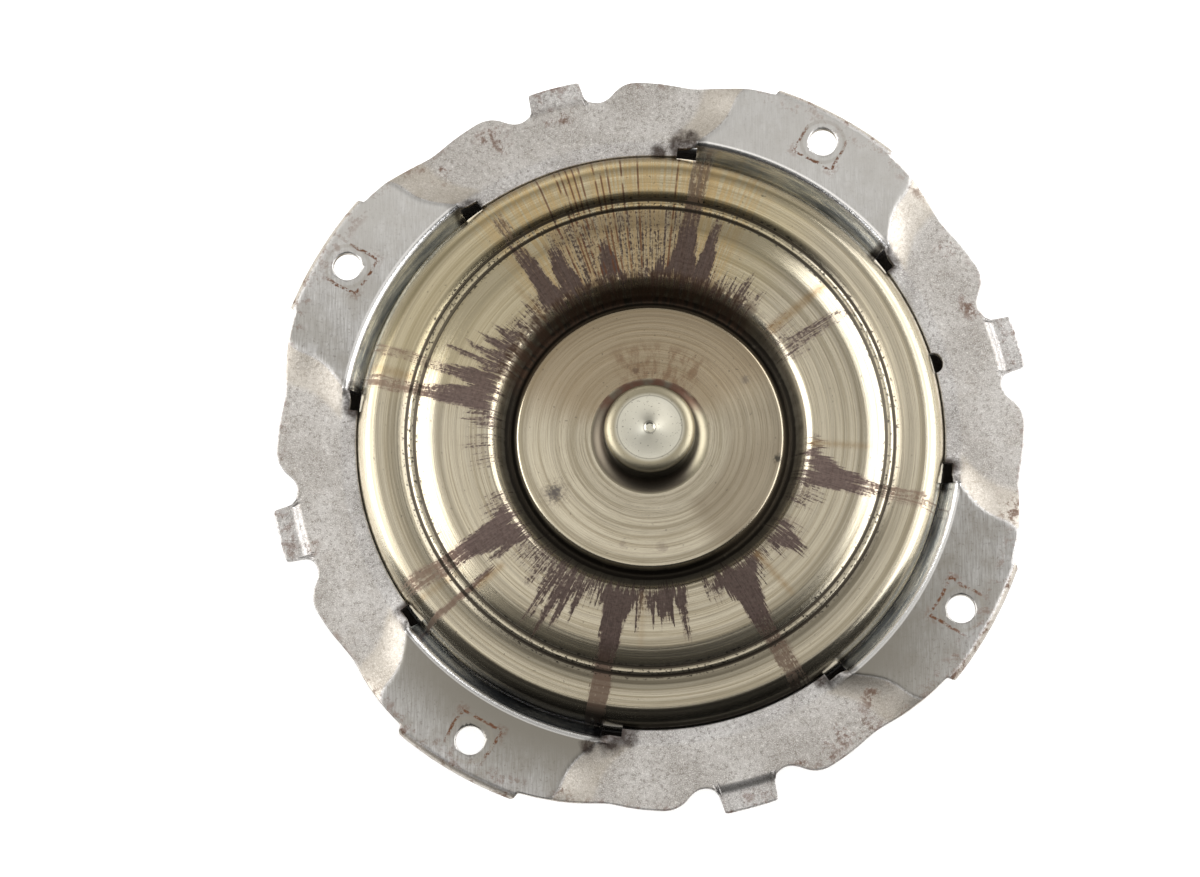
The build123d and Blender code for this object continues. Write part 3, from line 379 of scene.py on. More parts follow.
def cover_material():
    """Turned steel under a straw-coloured film, with dried oil runs and dirt in the grooves, and painted
    shade in the recess, at the bead's feet, over parts of the plateau and on the wall under the ring.
    """
    graph = Graph("turned_cover_steel", IOR=2.2, Anisotropic=0.5, Anisotropic_Rotation=0.25)
    tangent = graph.tree.nodes.new("ShaderNodeTangent")
    tangent.direction_type, tangent.axis = "RADIAL", "Z"
    graph.put(tangent.outputs[0], graph.shader.inputs["Tangent"])
    radius, angle, z = graph.radius, graph.angle, graph.z
    rays = graph.around(60.0, 0.02)
    coarse_rays = graph.step(graph.noise(rays, 1.3, 3.0, 0.7), 0.30, 0.70)
    fine_rays = graph.step(graph.noise(rays, 3.4, 3.0, 0.7), 0.30, 0.70)
    flames = graph.times(graph.add(graph.noise(rays, 1.1, 4.0, 0.8), -0.46), 30.0)
    grain = graph.step(graph.noise(graph.position, 800.0, 4.0, 0.7), 0.32, 0.68)
    drift = graph.times(graph.add(graph.noise(graph.position, 110.0, 3.0, 0.6), -0.5), 3.6)
    film = graph.noise(graph.position, 16.0, 3.0)
    turned = graph.around(0.4)
    rings = graph.noise(turned, 0.7, 4.0, 0.75)
    lines = graph.noise(turned, 7.0, 3.0, 0.85)

    colour = graph.mix(film, (0.58, 0.525, 0.40), (0.70, 0.645, 0.52))
    colour = graph.mix(graph.times(graph.step(rings, 0.46, 0.62), 0.70), colour, (0.38, 0.33, 0.23))
    colour = graph.mix(graph.times(graph.step(lines, 0.48, 0.72), 0.75), colour, (0.25, 0.205, 0.135))
    colour = graph.mix(graph.times(graph.step(lines, 0.40, 0.28), 0.6), colour, (0.86, 0.82, 0.72))
    for low, high, edge, strength in BANDS:
        band = graph.times(graph.band(radius, low, high, edge), strength)
        colour = graph.mix(band, colour, (0.13, 0.11, 0.08))
    amber = graph.times(
        graph.band(angle, radians(70), radians(124), radians(10)),
        graph.times(graph.step(radius, 60, 66), graph.step(coarse_rays, 0.1, 0.8)))
    colour = graph.mix(graph.times(amber, 0.7), colour, (0.50, 0.32, 0.13))
    yellow = graph.times(
        graph.band(angle, radians(60), radians(160), radians(16)), graph.step(radius, 60, 66))
    colour = graph.mix(graph.times(yellow, 0.35), colour, (0.62, 0.52, 0.28))

    density = 0.0
    for run in RUNS:
        density = graph.larger(density, streak(graph, flames, drift, *run))
    threads = graph.times(
        graph.band(angle, radians(82), radians(116), radians(3)), graph.band(radius, 66, 93, 4))
    density = graph.larger(density, graph.times(threads, 0.47))
    for first, last, level in SPECKLED:
        zone = graph.band(angle, radians(first), radians(last), radians(5))
        zone = graph.times(zone, graph.band(graph.math("SUBTRACT", radius, flames), 63.5, 68, 9))
        density = graph.larger(density, graph.times(zone, level))
    broken = graph.add(graph.times(coarse_rays, 0.32), graph.times(fine_rays, 0.33))
    broken = graph.add(graph.add(broken, graph.times(grain, 0.35)), 0.02)
    mask = graph.step(graph.math("SUBTRACT", density, broken), -0.06, 0.10)
    stain_colour = graph.mix(grain, (0.036, 0.022, 0.024), (0.098, 0.067, 0.064))
    stain_colour = graph.mix(graph.times(fine_rays, 0.5), stain_colour, (0.16, 0.115, 0.105))
    stain_colour = graph.mix(graph.step(radius, 84, 104), stain_colour, (0.125, 0.072, 0.050))
    veil = graph.times(graph.step(density, 0.15, 0.75), 0.45)
    colour = graph.mix(veil, colour, (0.27, 0.20, 0.165))
    cover = graph.times(mask, graph.blend(graph.step(radius, 92, 102), 0.9, 0.66))
    colour = graph.mix(cover, colour, stain_colour)
    rusty = 0.0
    for turn, half, start, end, strength in THIN_RUNS:
        rusty = graph.larger(rusty, streak(graph, 0.0, 0.0, turn, half, 0.3, start, end, strength, strength))
    colour = graph.mix(graph.times(rusty, graph.blend(grain, 1.0, 0.6)), colour, (0.32, 0.20, 0.08))
    dark = 0.0
    for turn in DARK_THREADS:
        dark = graph.larger(dark, graph.step(graph.math("ABSOLUTE", graph.beside(turn)[1]), 0.55, 0.15))
    dark = graph.times(dark, graph.times(graph.step(graph.y, 50, 60), graph.band(radius, 70, 119, 3)))
    dark = graph.times(dark, graph.step(graph.noise(graph.around(60.0, 0.6), 0.25, 2.0), 0.34, 0.52))
    colour = graph.mix(graph.times(dark, 0.85), colour, (0.17, 0.075, 0.04))

    cloud = graph.noise(graph.around(14.0, 0.25), 1.0, 4.0, 0.7)
    # Painted shade: the recess round the plateau is painted near-black.
    recess_shade = graph.larger(
        graph.band(radius, 55.4, 58.4, 2.2), graph.times(graph.band(radius, 58.0, 61.2, 2.0), 0.8))
    recess_shade = graph.times(recess_shade, graph.blend(cloud, 0.8, 1.25))
    colour = graph.mix(graph.math("MINIMUM", recess_shade, 0.98), colour, (0.016, 0.013, 0.010))
    # Painted shade: the creases at the bead's feet are painted dark; the speckles in that band are dirt.
    bead = graph.larger(graph.band(radius, 94.4, 95.4, 0.4), graph.band(radius, 97.8, 98.8, 0.4))
    bead = graph.times(bead, graph.blend(lines, 0.75, 1.2))
    dirt = graph.times(graph.band(radius, 94.0, 99.5, 1.0), graph.step(grain, 0.74, 0.84))
    colour = graph.mix(graph.math("MINIMUM", graph.larger(bead, dirt), 0.9), colour, (0.04, 0.032, 0.025))
    wall = graph.times(
        graph.band(radius, 58.0, 66.0, 3.0), graph.band(angle, radians(56), radians(152), radians(14)))
    wall = graph.times(wall, graph.step(graph.noise(graph.around(24.0, 0.1), 1.2, 5.0, 0.7), 0.38, 0.56))
    colour = graph.mix(graph.times(wall, 0.85), colour, (0.07, 0.042, 0.028))
    # Painted shade: the outer edge darkened over the front, partly grime, and the wall under the ring
    # painted near-black where the ring shades it.
    front_edge = graph.times(graph.step(radius, 112.5, 116.0), graph.step(graph.y, -84.0, -106.0))
    low_wall = graph.step(z, -7.5, -10.0)
    shade_and_grime = graph.larger(graph.times(front_edge, 0.85), graph.times(low_wall, graph.step(z, -46.0, -30.0)))
    colour = graph.mix(shade_and_grime, colour, (0.008, 0.007, 0.006))

    stain = graph.times(
        graph.band(angle, radians(56), radians(108), radians(12)), graph.band(radius, 24, 34, 8))
    stain = graph.times(stain, graph.step(graph.noise(graph.around(8.0, 0.12), 1.2, 5.0, 0.65), 0.38, 0.62))
    colour = graph.mix(graph.times(stain, 0.85), colour, (0.15, 0.07, 0.06))
    # Painted shade: the plateau darkened over the back, and below over the front right.
    back_plateau_shade = graph.times(
        graph.band(angle, radians(38), radians(150), radians(30)), graph.band(radius, 24, 53, 3))
    colour = graph.mix(graph.times(back_plateau_shade, 0.6), colour, (0.34, 0.25, 0.15))
    shade = graph.times(
        graph.band(angle, radians(-52), radians(12), radians(16)), graph.band(radius, 34, 53, 5))
    colour = graph.mix(graph.times(shade, graph.blend(graph.step(film, 0.35, 0.65), 0.35, 0.62)), colour,
                       (0.25, 0.20, 0.14))
    for place, turn, size, strength, tint in SPOTS:
        away = graph.add(graph.away(place, turn), graph.times(graph.add(grain, -0.5), size * 0.6))
        colour = graph.mix(graph.times(graph.step(away, size, size * 0.2), strength), colour, tint)

    specks = graph.step(graph.noise(graph.position, 700.0, 1.0), 0.73, 0.78)
    colour = graph.mix(graph.times(specks, 0.5), colour, (0.07, 0.055, 0.045))
    roughness = graph.add(graph.blend(lines, 0.11, 0.30), graph.times(mask, 0.25))
    roughness = graph.add(roughness, graph.times(graph.larger(graph.larger(recess_shade, wall), bead), 0.25))
    return graph.finish(
        colour, roughness, (lines, 0.26, 0.05), (rings, 0.30, 0.22), (grain, graph.times(mask, 0.2), 0.1))


def cover_outline():
    """The cover's section: its outer face from the pilot to the rim, then back inside."""
    dish = spline(
        [(53.0, PLATEAU), (54.2, -2.4), (56.2, -4.9), (62.6, 2.2), (66.0, 4.0)], (1, 0), (1, 0), 10)
    step = spline([(85.5, 4.0), (90.5, 3.1), (94.7, 1.7)], (1, 0), (1, -0.5), 10)
    bead = spline([(94.7, 1.7), (96.5, 2.3), (98.3, 1.6)], (1, 0.75), (1, -0.75), 8)
    rim = spline(
        [(98.3, 1.6), (101.2, 2.8), (103.6, 3.2), (108.0, 3.4), (111.4, 3.36), (113.1, 2.75),
         (114.9, 1.45), (117.3, -1.2), (COVER_RADIUS, -5.0)], (1, 0.5), (0, -1))
    shoulder = spline([(COVER_RADIUS, -16.0), (122.6, -18.7), (WALL_RADIUS, -24.0)], (0, -1), (0, -1))
    inside = spline([(WALL_BORE, -27.5), (120.3, -22.7), (114.0, -16.5)], (0, 1), (0, 1))
    face = [(PILOT_BASE, PLATEAU), (38, PLATEAU), *dish, (75, 4.0), *step, *bead[1:], *rim[1:]]
    back = rounded([
        (114.0, -12.0, 0), (114.0, -2.8, 6.0), (94.0, -2.8, 2), (86.0, -0.5, 2), (66.5, -0.5, 2),
        (58.0, -9.0, 1), (54.5, -9.0, 1), (51.5, -6.0, 1), (PILOT_BASE, -6.0, 0)], closed=False)
    wall = [(WALL_RADIUS, COVER_END), (WALL_BORE, COVER_END)]
    return face + shoulder + wall + inside + back


cover = lathe("cover_shell", cover_outline(), segments=480)
cover.data.materials.append(cover_material())
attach(cover, "root")
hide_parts("front_cover")


# ---- Mounting ring ----
# Plan of the outer edge over half a quarter: degrees from the middle of a tab, and radius.
EDGE_POINTS = [
    (4.55, 146.6), (5.3, 144.6), (6.8, 143.7), (8.2, 144.8), (9.3, 147.2), (10.6, 149.6),
    (12.2, 150.9), (14.2, 150.8), (17.0, 150.2), (20.0, 149.3), (22.0, 149.0), (24.5, 149.9),
    (27.5, 151.2), (31.0, 152.4), (34.4, 153.1)]
TAB_EDGE = [(0.0, 154.6), (3.55, 154.6), (3.95, 154.3), (4.05, 153.6), (4.3, 149.0)]
LIP_EDGE = [(34.9, 153.5), (35.2, 156.2), (35.6, 159.0), (36.2, 160.4), (37.4, 161.0), (45.0, 161.0)]
PAD_SIDES = [(118.0, 21.6), (124.0, 20.9), (127.5, 19.6), (134.0, 17.2), (142.0, 15.8), (149.0, 15.2),
             (152.5, 14.4)]
BEND_RADIUS = 3.0
COLLAR_BEND = 126.0     # where the pads turn down into their collars
COLLAR_SLOPE = radians(50)
COLLAR_REACH = 10.4     # length of the collar along its bend and slope
LIP_BEND = 153.3
SLOT_EDGE = 122.2
INNER_EDGE = 118.9
NOTCH_ANGLE, NOTCH_RADIUS = 14.8, 4.3

edge_line = TAB_EDGE + spline(EDGE_POINTS, steps=5) + LIP_EDGE
side_line = spline(PAD_SIDES)


def fold(angle, centres):
    """Degrees from the nearest of four centres."""
    return min(abs((angle - centre + 180) % 360 - 180) for centre in centres)


def inner_edge(angle):
    """The inner radius of the flat sheet, before its collars are bent."""
    off_pad = fold(angle, PAD_ANGLES)
    if off_pad < COLLAR_HALF:
        return COLLAR_BEND - COLLAR_REACH
    if off_pad < COLLAR_HALF + SLOT_ANGLE:
        return SLOT_EDGE
    off_notch = abs((angle - NOTCH_ANGLE + 180) % 360 - 180) * radians(1) * INNER_EDGE
    if off_notch < NOTCH_RADIUS:
        return INNER_EDGE + sqrt(NOTCH_RADIUS ** 2 - off_notch ** 2) - 0.6
    return INNER_EDGE


def sheet_point(radius, angle, depth):
    """Where a point of the flat sheet goes once it is bent and joggled; depth is 0 or less."""
    off_pad = fold(angle, PAD_ANGLES)
    off_tab = 45 - off_pad
    down = min(max((off_pad - between(side_line, radius)) / 6.8, 0.0), 1.0)
    down = 1.05 * down * down / (down + 0.05)
    drop = SEGMENT_DROP * (1 - (1 - down) ** 2)
    drop += TAB_DROP * smooth(144.3, 146.3, radius) * smooth(7.2, 5.2, off_tab)
    if radius > LIP_BEND and off_pad < 10.5:
        along = radius - LIP_BEND
        turn = min(along / BEND_RADIUS, pi / 2)
        straight = max(0.0, along - BEND_RADIUS * pi / 2)
        reach = LIP_BEND + BEND_RADIUS * sin(turn) + depth * sin(turn)
        height = -BEND_RADIUS * (1 - cos(turn)) - straight + depth * cos(turn)
        return (*polar(reach, angle), height)
    if radius < COLLAR_BEND and off_pad < COLLAR_HALF + 2:
        along = COLLAR_BEND - radius
        turn = min(along / BEND_RADIUS, COLLAR_SLOPE)
        straight = max(0.0, along - BEND_RADIUS * COLLAR_SLOPE)
        reach = COLLAR_BEND - BEND_RADIUS * sin(turn) - straight * cos(turn) - depth * sin(turn)
        height = -BEND_RADIUS * (1 - cos(turn)) - straight * sin(turn) + depth * cos(turn)
        bent = smooth(COLLAR_HALF + 1.8, COLLAR_HALF - 0.3, off_pad)
        reach = radius + (reach - radius) * bent
        height = (depth - drop) + (height - (depth - drop)) * bent
        return (*polar(reach, angle), height)
    return (*polar(radius, angle), depth - drop)


def ring_columns():
    """The angles of the grid's columns, with close pairs where the plan has a step."""
    fine = 0.5
    angles = [fine * index for index in range(720)]
    for centre in PAD_ANGLES:
        for side in (-1, 1):
            for corner in (COLLAR_HALF, COLLAR_HALF + SLOT_ANGLE):
                angles += [centre + side * (corner - 0.02), centre + side * (corner + 0.02)]
            angles += [centre + side * (45 - degree) for degree, _ in TAB_EDGE + LIP_EDGE[:4]]
    for step in range(-8, 9):
        angles.append(NOTCH_ANGLE + degrees(NOTCH_RADIUS / INNER_EDGE) * sin(radians(11.2 * step)))
    ordered = []
    for angle in sorted(value % 360 for value in angles):
        if not ordered or angle - ordered[-1] > 0.015:
            ordered.append(angle)
    return ordered


def ring_section(low, high):
    """One column of the flat sheet: its closed section between two radii, edges rounded."""
    soft = 0.45
    first, last = 127.0, min(150.0, high - 2.5)
    stops = [(low + soft, first, 16), (first, last, 20), (last, high - soft, 12)]
    top = [(start + (end - start) * row / rows, 0.0) for start, end, rows in stops for row in range(rows)]
    top.append((high - soft, 0.0))
    outer = [(high - 0.15, -0.12), (high, -soft), (high, -SHEET + soft), (high - 0.15, -SHEET + 0.12)]
    stops = [(high - soft, last, 4), (last, first, 8), (first, low + soft, 8)]
    bottom = [
        (start + (end - start) * row / rows, -SHEET) for start, end, rows in stops for row in range(rows)]
    bottom.append((low + soft, -SHEET))
    inner = [(low + 0.15, -SHEET + 0.12), (low, -SHEET + soft), (low, -soft), (low + 0.15, -0.12)]
    return top + outer + bottom + inner


def bolt_hole_cutter(angle):
    """A cylinder with flared ends, which leaves a bolt hole with broken edges."""
    outline = [(0, 3), (9, 3), (6.1, 0.0), (5.75, -0.35), (5.75, -2.6), (6.1, -3.0), (9, -6), (0, -6)]
    cutter = lathe("bolt_hole_cutter", outline, segments=96)
    cutter.location = (*(part * MM for part in polar(BOLT_CIRCLE, angle)), 0)
    return cutter


def cut_holes(piece, cutters):
    for cutter in cutters:
        modifier = piece.modifiers.new("hole", "BOOLEAN")
        modifier.operation, modifier.solver, modifier.object = "DIFFERENCE", "EXACT", cutter
    bpy.context.view_layer.update()
    evaluated = piece.evaluated_get(bpy.context.evaluated_depsgraph_get())
    mesh = bpy.data.meshes.new_from_object(evaluated)
    piece.modifiers.clear()
    piece.data = mesh
    for cutter in cutters:
        bpy.data.objects.remove(cutter)


def build_ring():
    verts, faces = [], []
    columns = ring_columns()
    for angle in columns:
        off_tab = 45 - fold(angle, PAD_ANGLES)
        section = ring_section(inner_edge(angle), between(edge_line, off_tab))
        verts += [sheet_point(radius, angle, depth) for radius, depth in section]
    count = len(ring_section(120, 150))
    for column in range(len(columns)):
        left, right = column * count, (column + 1) % len(columns) * count
        for row in range(count):
            after = (row + 1) % count
            faces.append((left + row, left + after, right + after, right + row))
    ring = make_object("flexplate_ring", verts, faces, sharp=50.0)
    cut_holes(ring, [bolt_hole_cutter(angle) for angle in PAD_ANGLES])
    return ring


# angle, radius and size of each sooty patch beside a slot
SOOT = [(84.0, 122.5, 8.0), (81.8, 127.0, 5.5), (88.0, 120.5, 5.5), (-94.0, 121.0, 6.5), (-97.5, 125.0, 7.5),
        (-101.0, 128.5, 4.5), (-6.0, 121.0, 4.5), (-56.0, 120.5, 4.0), (-144.0, 120.5, 4.0),
        (36.0, 120.5, 3.5), (126.5, 120.5, 3.5), (175.0, 120.5, 4.5)]
# angle, radius and size of each rusty patch between the pads
RUSTY = [(-58, 142, 11), (-50, 138, 8), (-66, 146, 6), (22, 141, 8), (4, 130, 5), (105, 141, 9),
         (117, 143, 10), (128, 143, 9), (33, 144, 7), (-162, 143, 6), (-12, 148, 10), (-104, 146, 6),
         (164, 146, 7), (74, 149, 8), (-54, 146, 10), (-62, 148, 8)]


def ring_material():
    """Blasted sheet steel with machined pads, heat-tinted collars, rust and soot, with painted shade on the
    front pads, painted light on the back pads and a painted highlight along the collar bends.
    """
    graph = Graph("ring_steel", IOR=2.0)
    radius, z = graph.radius, graph.z
    quarter = graph.math("MODULO", graph.add(graph.times(graph.angle, 180 / pi), 360 + 45 - 60 + 90), 90.0)
    off_pad = graph.math("ABSOLUTE", graph.add(quarter, -45.0))
    coarse = graph.noise(graph.position, 700.0, 4.0, 0.7)
    grain = graph.noise(graph.position, 2600.0, 2.0, 0.6)
    cloud = graph.noise(graph.position, 36.0, 5.0, 0.65)
    patches = graph.noise(graph.position, 110.0, 5.0, 0.7)
    colour = graph.mix(graph.step(cloud, 0.32, 0.68), (0.36, 0.34, 0.325), (0.58, 0.565, 0.555))
    colour = graph.mix(graph.times(graph.step(patches, 0.52, 0.66), 0.35), colour, (0.30, 0.265, 0.235))
    colour = graph.mix(graph.times(graph.step(coarse, 0.50, 0.64), 0.65), colour, (0.19, 0.17, 0.155))
    colour = graph.mix(graph.times(graph.step(grain, 0.52, 0.62), 0.60), colour, (0.90, 0.89, 0.87))
    colour = graph.mix(graph.times(graph.step(coarse, 0.42, 0.30), 0.65), colour, (0.86, 0.85, 0.83))
    pad = graph.step(z, -0.25, -0.05)
    brushed = graph.vector(graph.times(graph.x, 1.0), graph.times(graph.y, 0.06))
    scratches = graph.noise(brushed, 1.6, 4.0, 0.75)
    pad_colour = graph.mix(graph.step(scratches, 0.3, 0.7), (0.36, 0.35, 0.34), (0.64, 0.64, 0.64))
    pad_colour = graph.mix(graph.times(graph.step(cloud, 0.42, 0.62), 0.55), pad_colour, (0.33, 0.31, 0.275))
    pad_colour = graph.mix(
        graph.times(graph.step(patches, 0.50, 0.68), 0.45), pad_colour, (0.30, 0.275, 0.24))
    pad_colour = graph.mix(graph.times(graph.step(coarse, 0.56, 0.66), 0.5), pad_colour, (0.16, 0.14, 0.12))
    colour = graph.mix(pad, colour, pad_colour)
    # Painted shade on the front pads and painted light on the back pads.
    front_pad_shade = graph.times(graph.step(graph.y, 10.0, -110.0), graph.step(radius, 158.0, 127.0))
    colour = graph.mix(graph.times(pad, front_pad_shade), colour, (0.25, 0.235, 0.205))
    back_pad_light = graph.times(graph.step(graph.y, 20.0, 120.0), 0.6)
    colour = graph.mix(graph.times(pad, back_pad_light), colour, (0.80, 0.79, 0.77))
    slope = graph.times(graph.band(z, -3.2, -0.5, 0.3), graph.step(radius, 124.0, 126.5))
    colour = graph.mix(graph.times(slope, 0.5), colour, (0.55, 0.49, 0.40))

    collar = graph.times(graph.step(radius, 123.9, 123.4), graph.step(off_pad, 21.2, 20.6))
    # A painted highlight: the pads' bend into their collars painted near-white; it is also smoother, as
    # worn.
    bend_highlight = graph.times(graph.band(radius, 124.1, 125.9, 0.5), graph.step(off_pad, 21.4, 20.6))
    colour = graph.mix(graph.times(bend_highlight, 0.85), colour, (0.93, 0.93, 0.93))
    heat = graph.noise(graph.vector(graph.times(graph.angle, 5.0), graph.times(z, 0.6)), 1.0, 3.0, 0.6)
    tint = graph.mix(graph.step(heat, 0.35, 0.68), (0.34, 0.38, 0.46), (0.80, 0.83, 0.88))
    tint = graph.mix(graph.times(graph.step(graph.noise(graph.vector(z), 3.0, 2.0), 0.5, 0.7), 0.7), tint,
                     (0.07, 0.085, 0.11))
    colour = graph.mix(collar, colour, tint)
    burnt = graph.times(graph.band(off_pad, 19.8, 24.9, 1.2), graph.step(radius, 129.0, 122.8))
    burnt = graph.times(burnt, graph.step(patches, 0.36, 0.56))
    colour = graph.mix(graph.times(burnt, 0.85), colour, (0.05, 0.042, 0.038))
    dots = graph.step(graph.noise(graph.position, 420.0, 4.0, 0.75), 0.44, 0.54)
    soot = 0.0
    for turn, place, size in SOOT:
        away = graph.add(graph.away(place, turn), graph.times(graph.add(patches, -0.5), size * 2.0))
        soot = graph.larger(soot, graph.step(away, size, size * 0.3))
    soot = graph.times(soot, graph.blend(dots, 0.75, 1.0))
    colour = graph.mix(graph.times(soot, 0.9), colour, (0.05, 0.036, 0.030))

    rust_cloud = graph.step(graph.noise(graph.position, 170.0, 5.0, 0.75), 0.50, 0.62)
    edge = graph.larger(graph.step(radius, 151.5, 155.0), graph.times(graph.step(radius, 146, 150), 0.6))
    rust = graph.times(graph.times(edge, rust_cloud), 0.95)
    patch = 0.0
    for turn, place, size in RUSTY:
        away = graph.add(graph.away(place, turn), graph.times(graph.add(patches, -0.5), size * 1.6))
        patch = graph.larger(patch, graph.step(away, size, size * 0.2))
    patch = graph.times(patch, graph.times(rust_cloud, 0.9))
    rust = graph.larger(rust, graph.times(patch, graph.step(pad, 0.6, 0.0)))
    for turn in PAD_ANGLES:
        along, across = graph.beside(turn)
        shift = graph.times(graph.add(patches, -0.5), 3.5)
        inward = graph.math("SUBTRACT", 133.2, along)
        square = graph.larger(graph.add(graph.math("ABSOLUTE", across), -8.8), inward)
        outline = graph.band(graph.add(square, shift), -0.35, 0.35, 0.45)
        near = graph.times(graph.step(along, 154.0, 142.0), dots)
        rust = graph.larger(rust, graph.times(graph.times(outline, near), 1.25))
        corner = graph.step(graph.add(graph.math("ABSOLUTE", across), graph.times(inward, 0.8)), 6.0, 9.0)
        halo = graph.times(graph.band(graph.add(square, shift), -2.0, 1.4, 1.6), graph.step(along, 152, 143))
        rust = graph.larger(rust, graph.times(graph.times(halo, dots), graph.times(corner, 0.55)))
        washer = graph.band(graph.away(BOLT_CIRCLE, turn), 8.4, 9.2, 0.6)
        colour = graph.mix(graph.times(washer, 0.3), colour, (0.33, 0.30, 0.25))
    colour = graph.mix(graph.times(rust, 0.8), colour, (0.17, 0.085, 0.05))
    roughness = graph.blend(pad, graph.blend(coarse, 0.40, 0.60), graph.blend(scratches, 0.26, 0.42))
    roughness = graph.blend(graph.larger(collar, bend_highlight), roughness, 0.22)
    roughness = graph.add(roughness, graph.times(rust, 0.3))
    matte = graph.step(z, -0.05, -0.3)
    return graph.finish(
        colour, roughness, (grain, graph.times(matte, 0.35), 0.10),
        (coarse, graph.blend(matte, 0.1, 0.4), 0.25), (cloud, 0.10, 1.0))


ring = build_ring()
ring.data.materials.clear()
ring.data.materials.append(ring_material())
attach(ring, "root")
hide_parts("mounting_ring")


# ---- Pilot ----
def pilot_outline():
    edge = spline([(13.3, 14.0), (16.9, 13.1), (18.3, 10.0)], (1, 0), (0, -1))
    foot = rounded([(18.3, 8.0, 0), (18.3, PLATEAU, 5.6), (PILOT_BASE, PLATEAU, 0)], False, 4.0)
    inside = rounded([
        (PILOT_BASE, -6, 0), (26, -6, 0.2), (26, -26, 0.4), (16, -26, 0.4), (16, -8, 1), (0, -4, 0)], False)
    return [(0, 13.5), (1.5, 13.5), (1.9, 13.9), (2.1, 14.0), *edge, *foot, *inside]


def pilot_material():
    """Turned steel, clean on its face and darkened down its side, with painted shade in the fillet at its
    foot.
    """
    graph = Graph("turned_pilot_steel", IOR=2.2)
    radius, z = graph.radius, graph.z
    lines = graph.noise(graph.vector(radius, z), 5.0, 4.0, 0.8)
    cloud = graph.noise(graph.position, 120.0, 4.0, 0.6)
    pits = graph.step(graph.noise(graph.position, 1100.0, 2.0, 0.6), 0.64, 0.70)
    colour = graph.mix(cloud, (0.66, 0.64, 0.54), (0.84, 0.82, 0.72))
    colour = graph.mix(graph.step(radius, 12.6, 14.6), colour, (0.40, 0.36, 0.26))
    etched = graph.larger(graph.band(radius, 12.8, 13.1, 0.2), graph.band(radius, 2.4, 2.6, 0.25))
    colour = graph.mix(graph.times(etched, 0.5), colour, (0.20, 0.18, 0.14))
    colour = graph.mix(graph.times(pits, 0.6), colour, (0.16, 0.14, 0.11))
    # The pin's side darkened down to the plateau.
    side = graph.times(graph.step(z, 12.6, 11.0), graph.step(z, -1.2, 0.8))
    side = graph.times(side, graph.blend(cloud, 0.8, 1.1))
    colour = graph.mix(graph.math("MINIMUM", side, 0.95), colour, (0.035, 0.033, 0.03))
    # Painted shade in the fillet at the pin's foot, everywhere but on the right.
    foot = graph.times(graph.step(radius, 18.0, 20.0), graph.step(graph.x, 21.0, 12.0))
    foot = graph.times(foot, graph.step(radius, 24.5, 22.8))
    colour = graph.mix(graph.times(foot, 0.8), colour, (0.07, 0.055, 0.045))
    stain = graph.times(graph.step(graph.y, 6.0, 16.0), graph.times(
        graph.step(radius, 18.5, 20.5), graph.step(cloud, 0.35, 0.6)))
    colour = graph.mix(graph.times(stain, 0.85), colour, (0.13, 0.065, 0.045))
    roughness = graph.add(graph.blend(lines, 0.22, 0.36), graph.times(graph.step(radius, 13.5, 15.5), 0.12))
    return graph.finish(colour, roughness, (lines, 0.12, 0.05), (cloud, 0.15, 0.3))


pilot = lathe("pilot_pin", pilot_outline(), segments=192)
pilot.data.materials.append(pilot_material())
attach(pilot, "root")
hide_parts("pilot")


# ---- Plain steels for the pieces that keep their CAD mesh ----
def steel(name, dark, light, roughness=(0.28, 0.42), grain=500.0, metallic=1.0):
    """A worn surface between two colours, with fine grain and a soft cloud of oil film."""
    graph = Graph(name, metallic, IOR=2.0 if metallic else 1.5)
    fine = graph.noise(graph.position, grain, 4.0, 0.65)
    cloud = graph.noise(graph.position, 35.0, 3.0)
    colour = graph.mix(fine, dark, light)
    colour = graph.mix(graph.times(graph.step(cloud, 0.5, 0.75), 0.4), colour, dark)
    return graph.finish(colour, graph.blend(fine, *roughness), (fine, 0.1, 0.05))


FINISHES = {
    "shell_steel": steel("drawn_steel", (0.34, 0.32, 0.28), (0.55, 0.52, 0.46)),
    "ground_steel": steel("ground_steel", (0.55, 0.55, 0.55), (0.72, 0.72, 0.72), (0.16, 0.26), 900.0),
    "cast_aluminium": steel("cast_aluminium", (0.55, 0.55, 0.55), (0.75, 0.75, 0.75), (0.4, 0.6), 300.0),
    "blade_steel": steel("blade_steel", (0.36, 0.33, 0.26), (0.56, 0.52, 0.42)),
    "stamped_steel": steel("stamped_steel", (0.27, 0.27, 0.28), (0.45, 0.45, 0.46), (0.35, 0.5)),
    "hard_steel": steel("hard_steel", (0.5, 0.51, 0.53), (0.68, 0.69, 0.71), (0.14, 0.24), 900.0),
    "spring_steel": steel("spring_steel", (0.10, 0.10, 0.12), (0.22, 0.22, 0.25), (0.3, 0.4)),
    "friction_lining": steel(
        "friction_lining", (0.07, 0.05, 0.035), (0.15, 0.11, 0.08), (0.7, 0.85), 700.0, 0.0),
    "seal": steel("seal_rubber", (0.012, 0.012, 0.013), (0.03, 0.03, 0.032), (0.45, 0.6), 700.0, 0.0),
    "weld": steel("weld_bead", (0.16, 0.17, 0.21), (0.40, 0.40, 0.43), (0.35, 0.5), 250.0),
}
for part in frame["record"]["subparts"]:
    finish = FINISHES.get(part["material_slot"])
    node = frame["nodes"].get(part["node"])
    if finish and node:
        node.data.materials.clear()
        node.data.materials.append(finish)


# ---- Floor, lights and camera ----
FLOOR_GLOW = 0.42
FLOOR_HALF = 6.0                            # metres, from the axis to the floor's edge
CAMERA_PLACE = (0.0102, -0.3046, 1.2933)    # metres
CAMERA_RIGHT = (0.99973, 0.00154, -0.02306)
CAMERA_BACK = (0.02281, -0.22823, 0.97334)
CAMERA_LENS, CAMERA_SENSOR = 99.0, 36.0


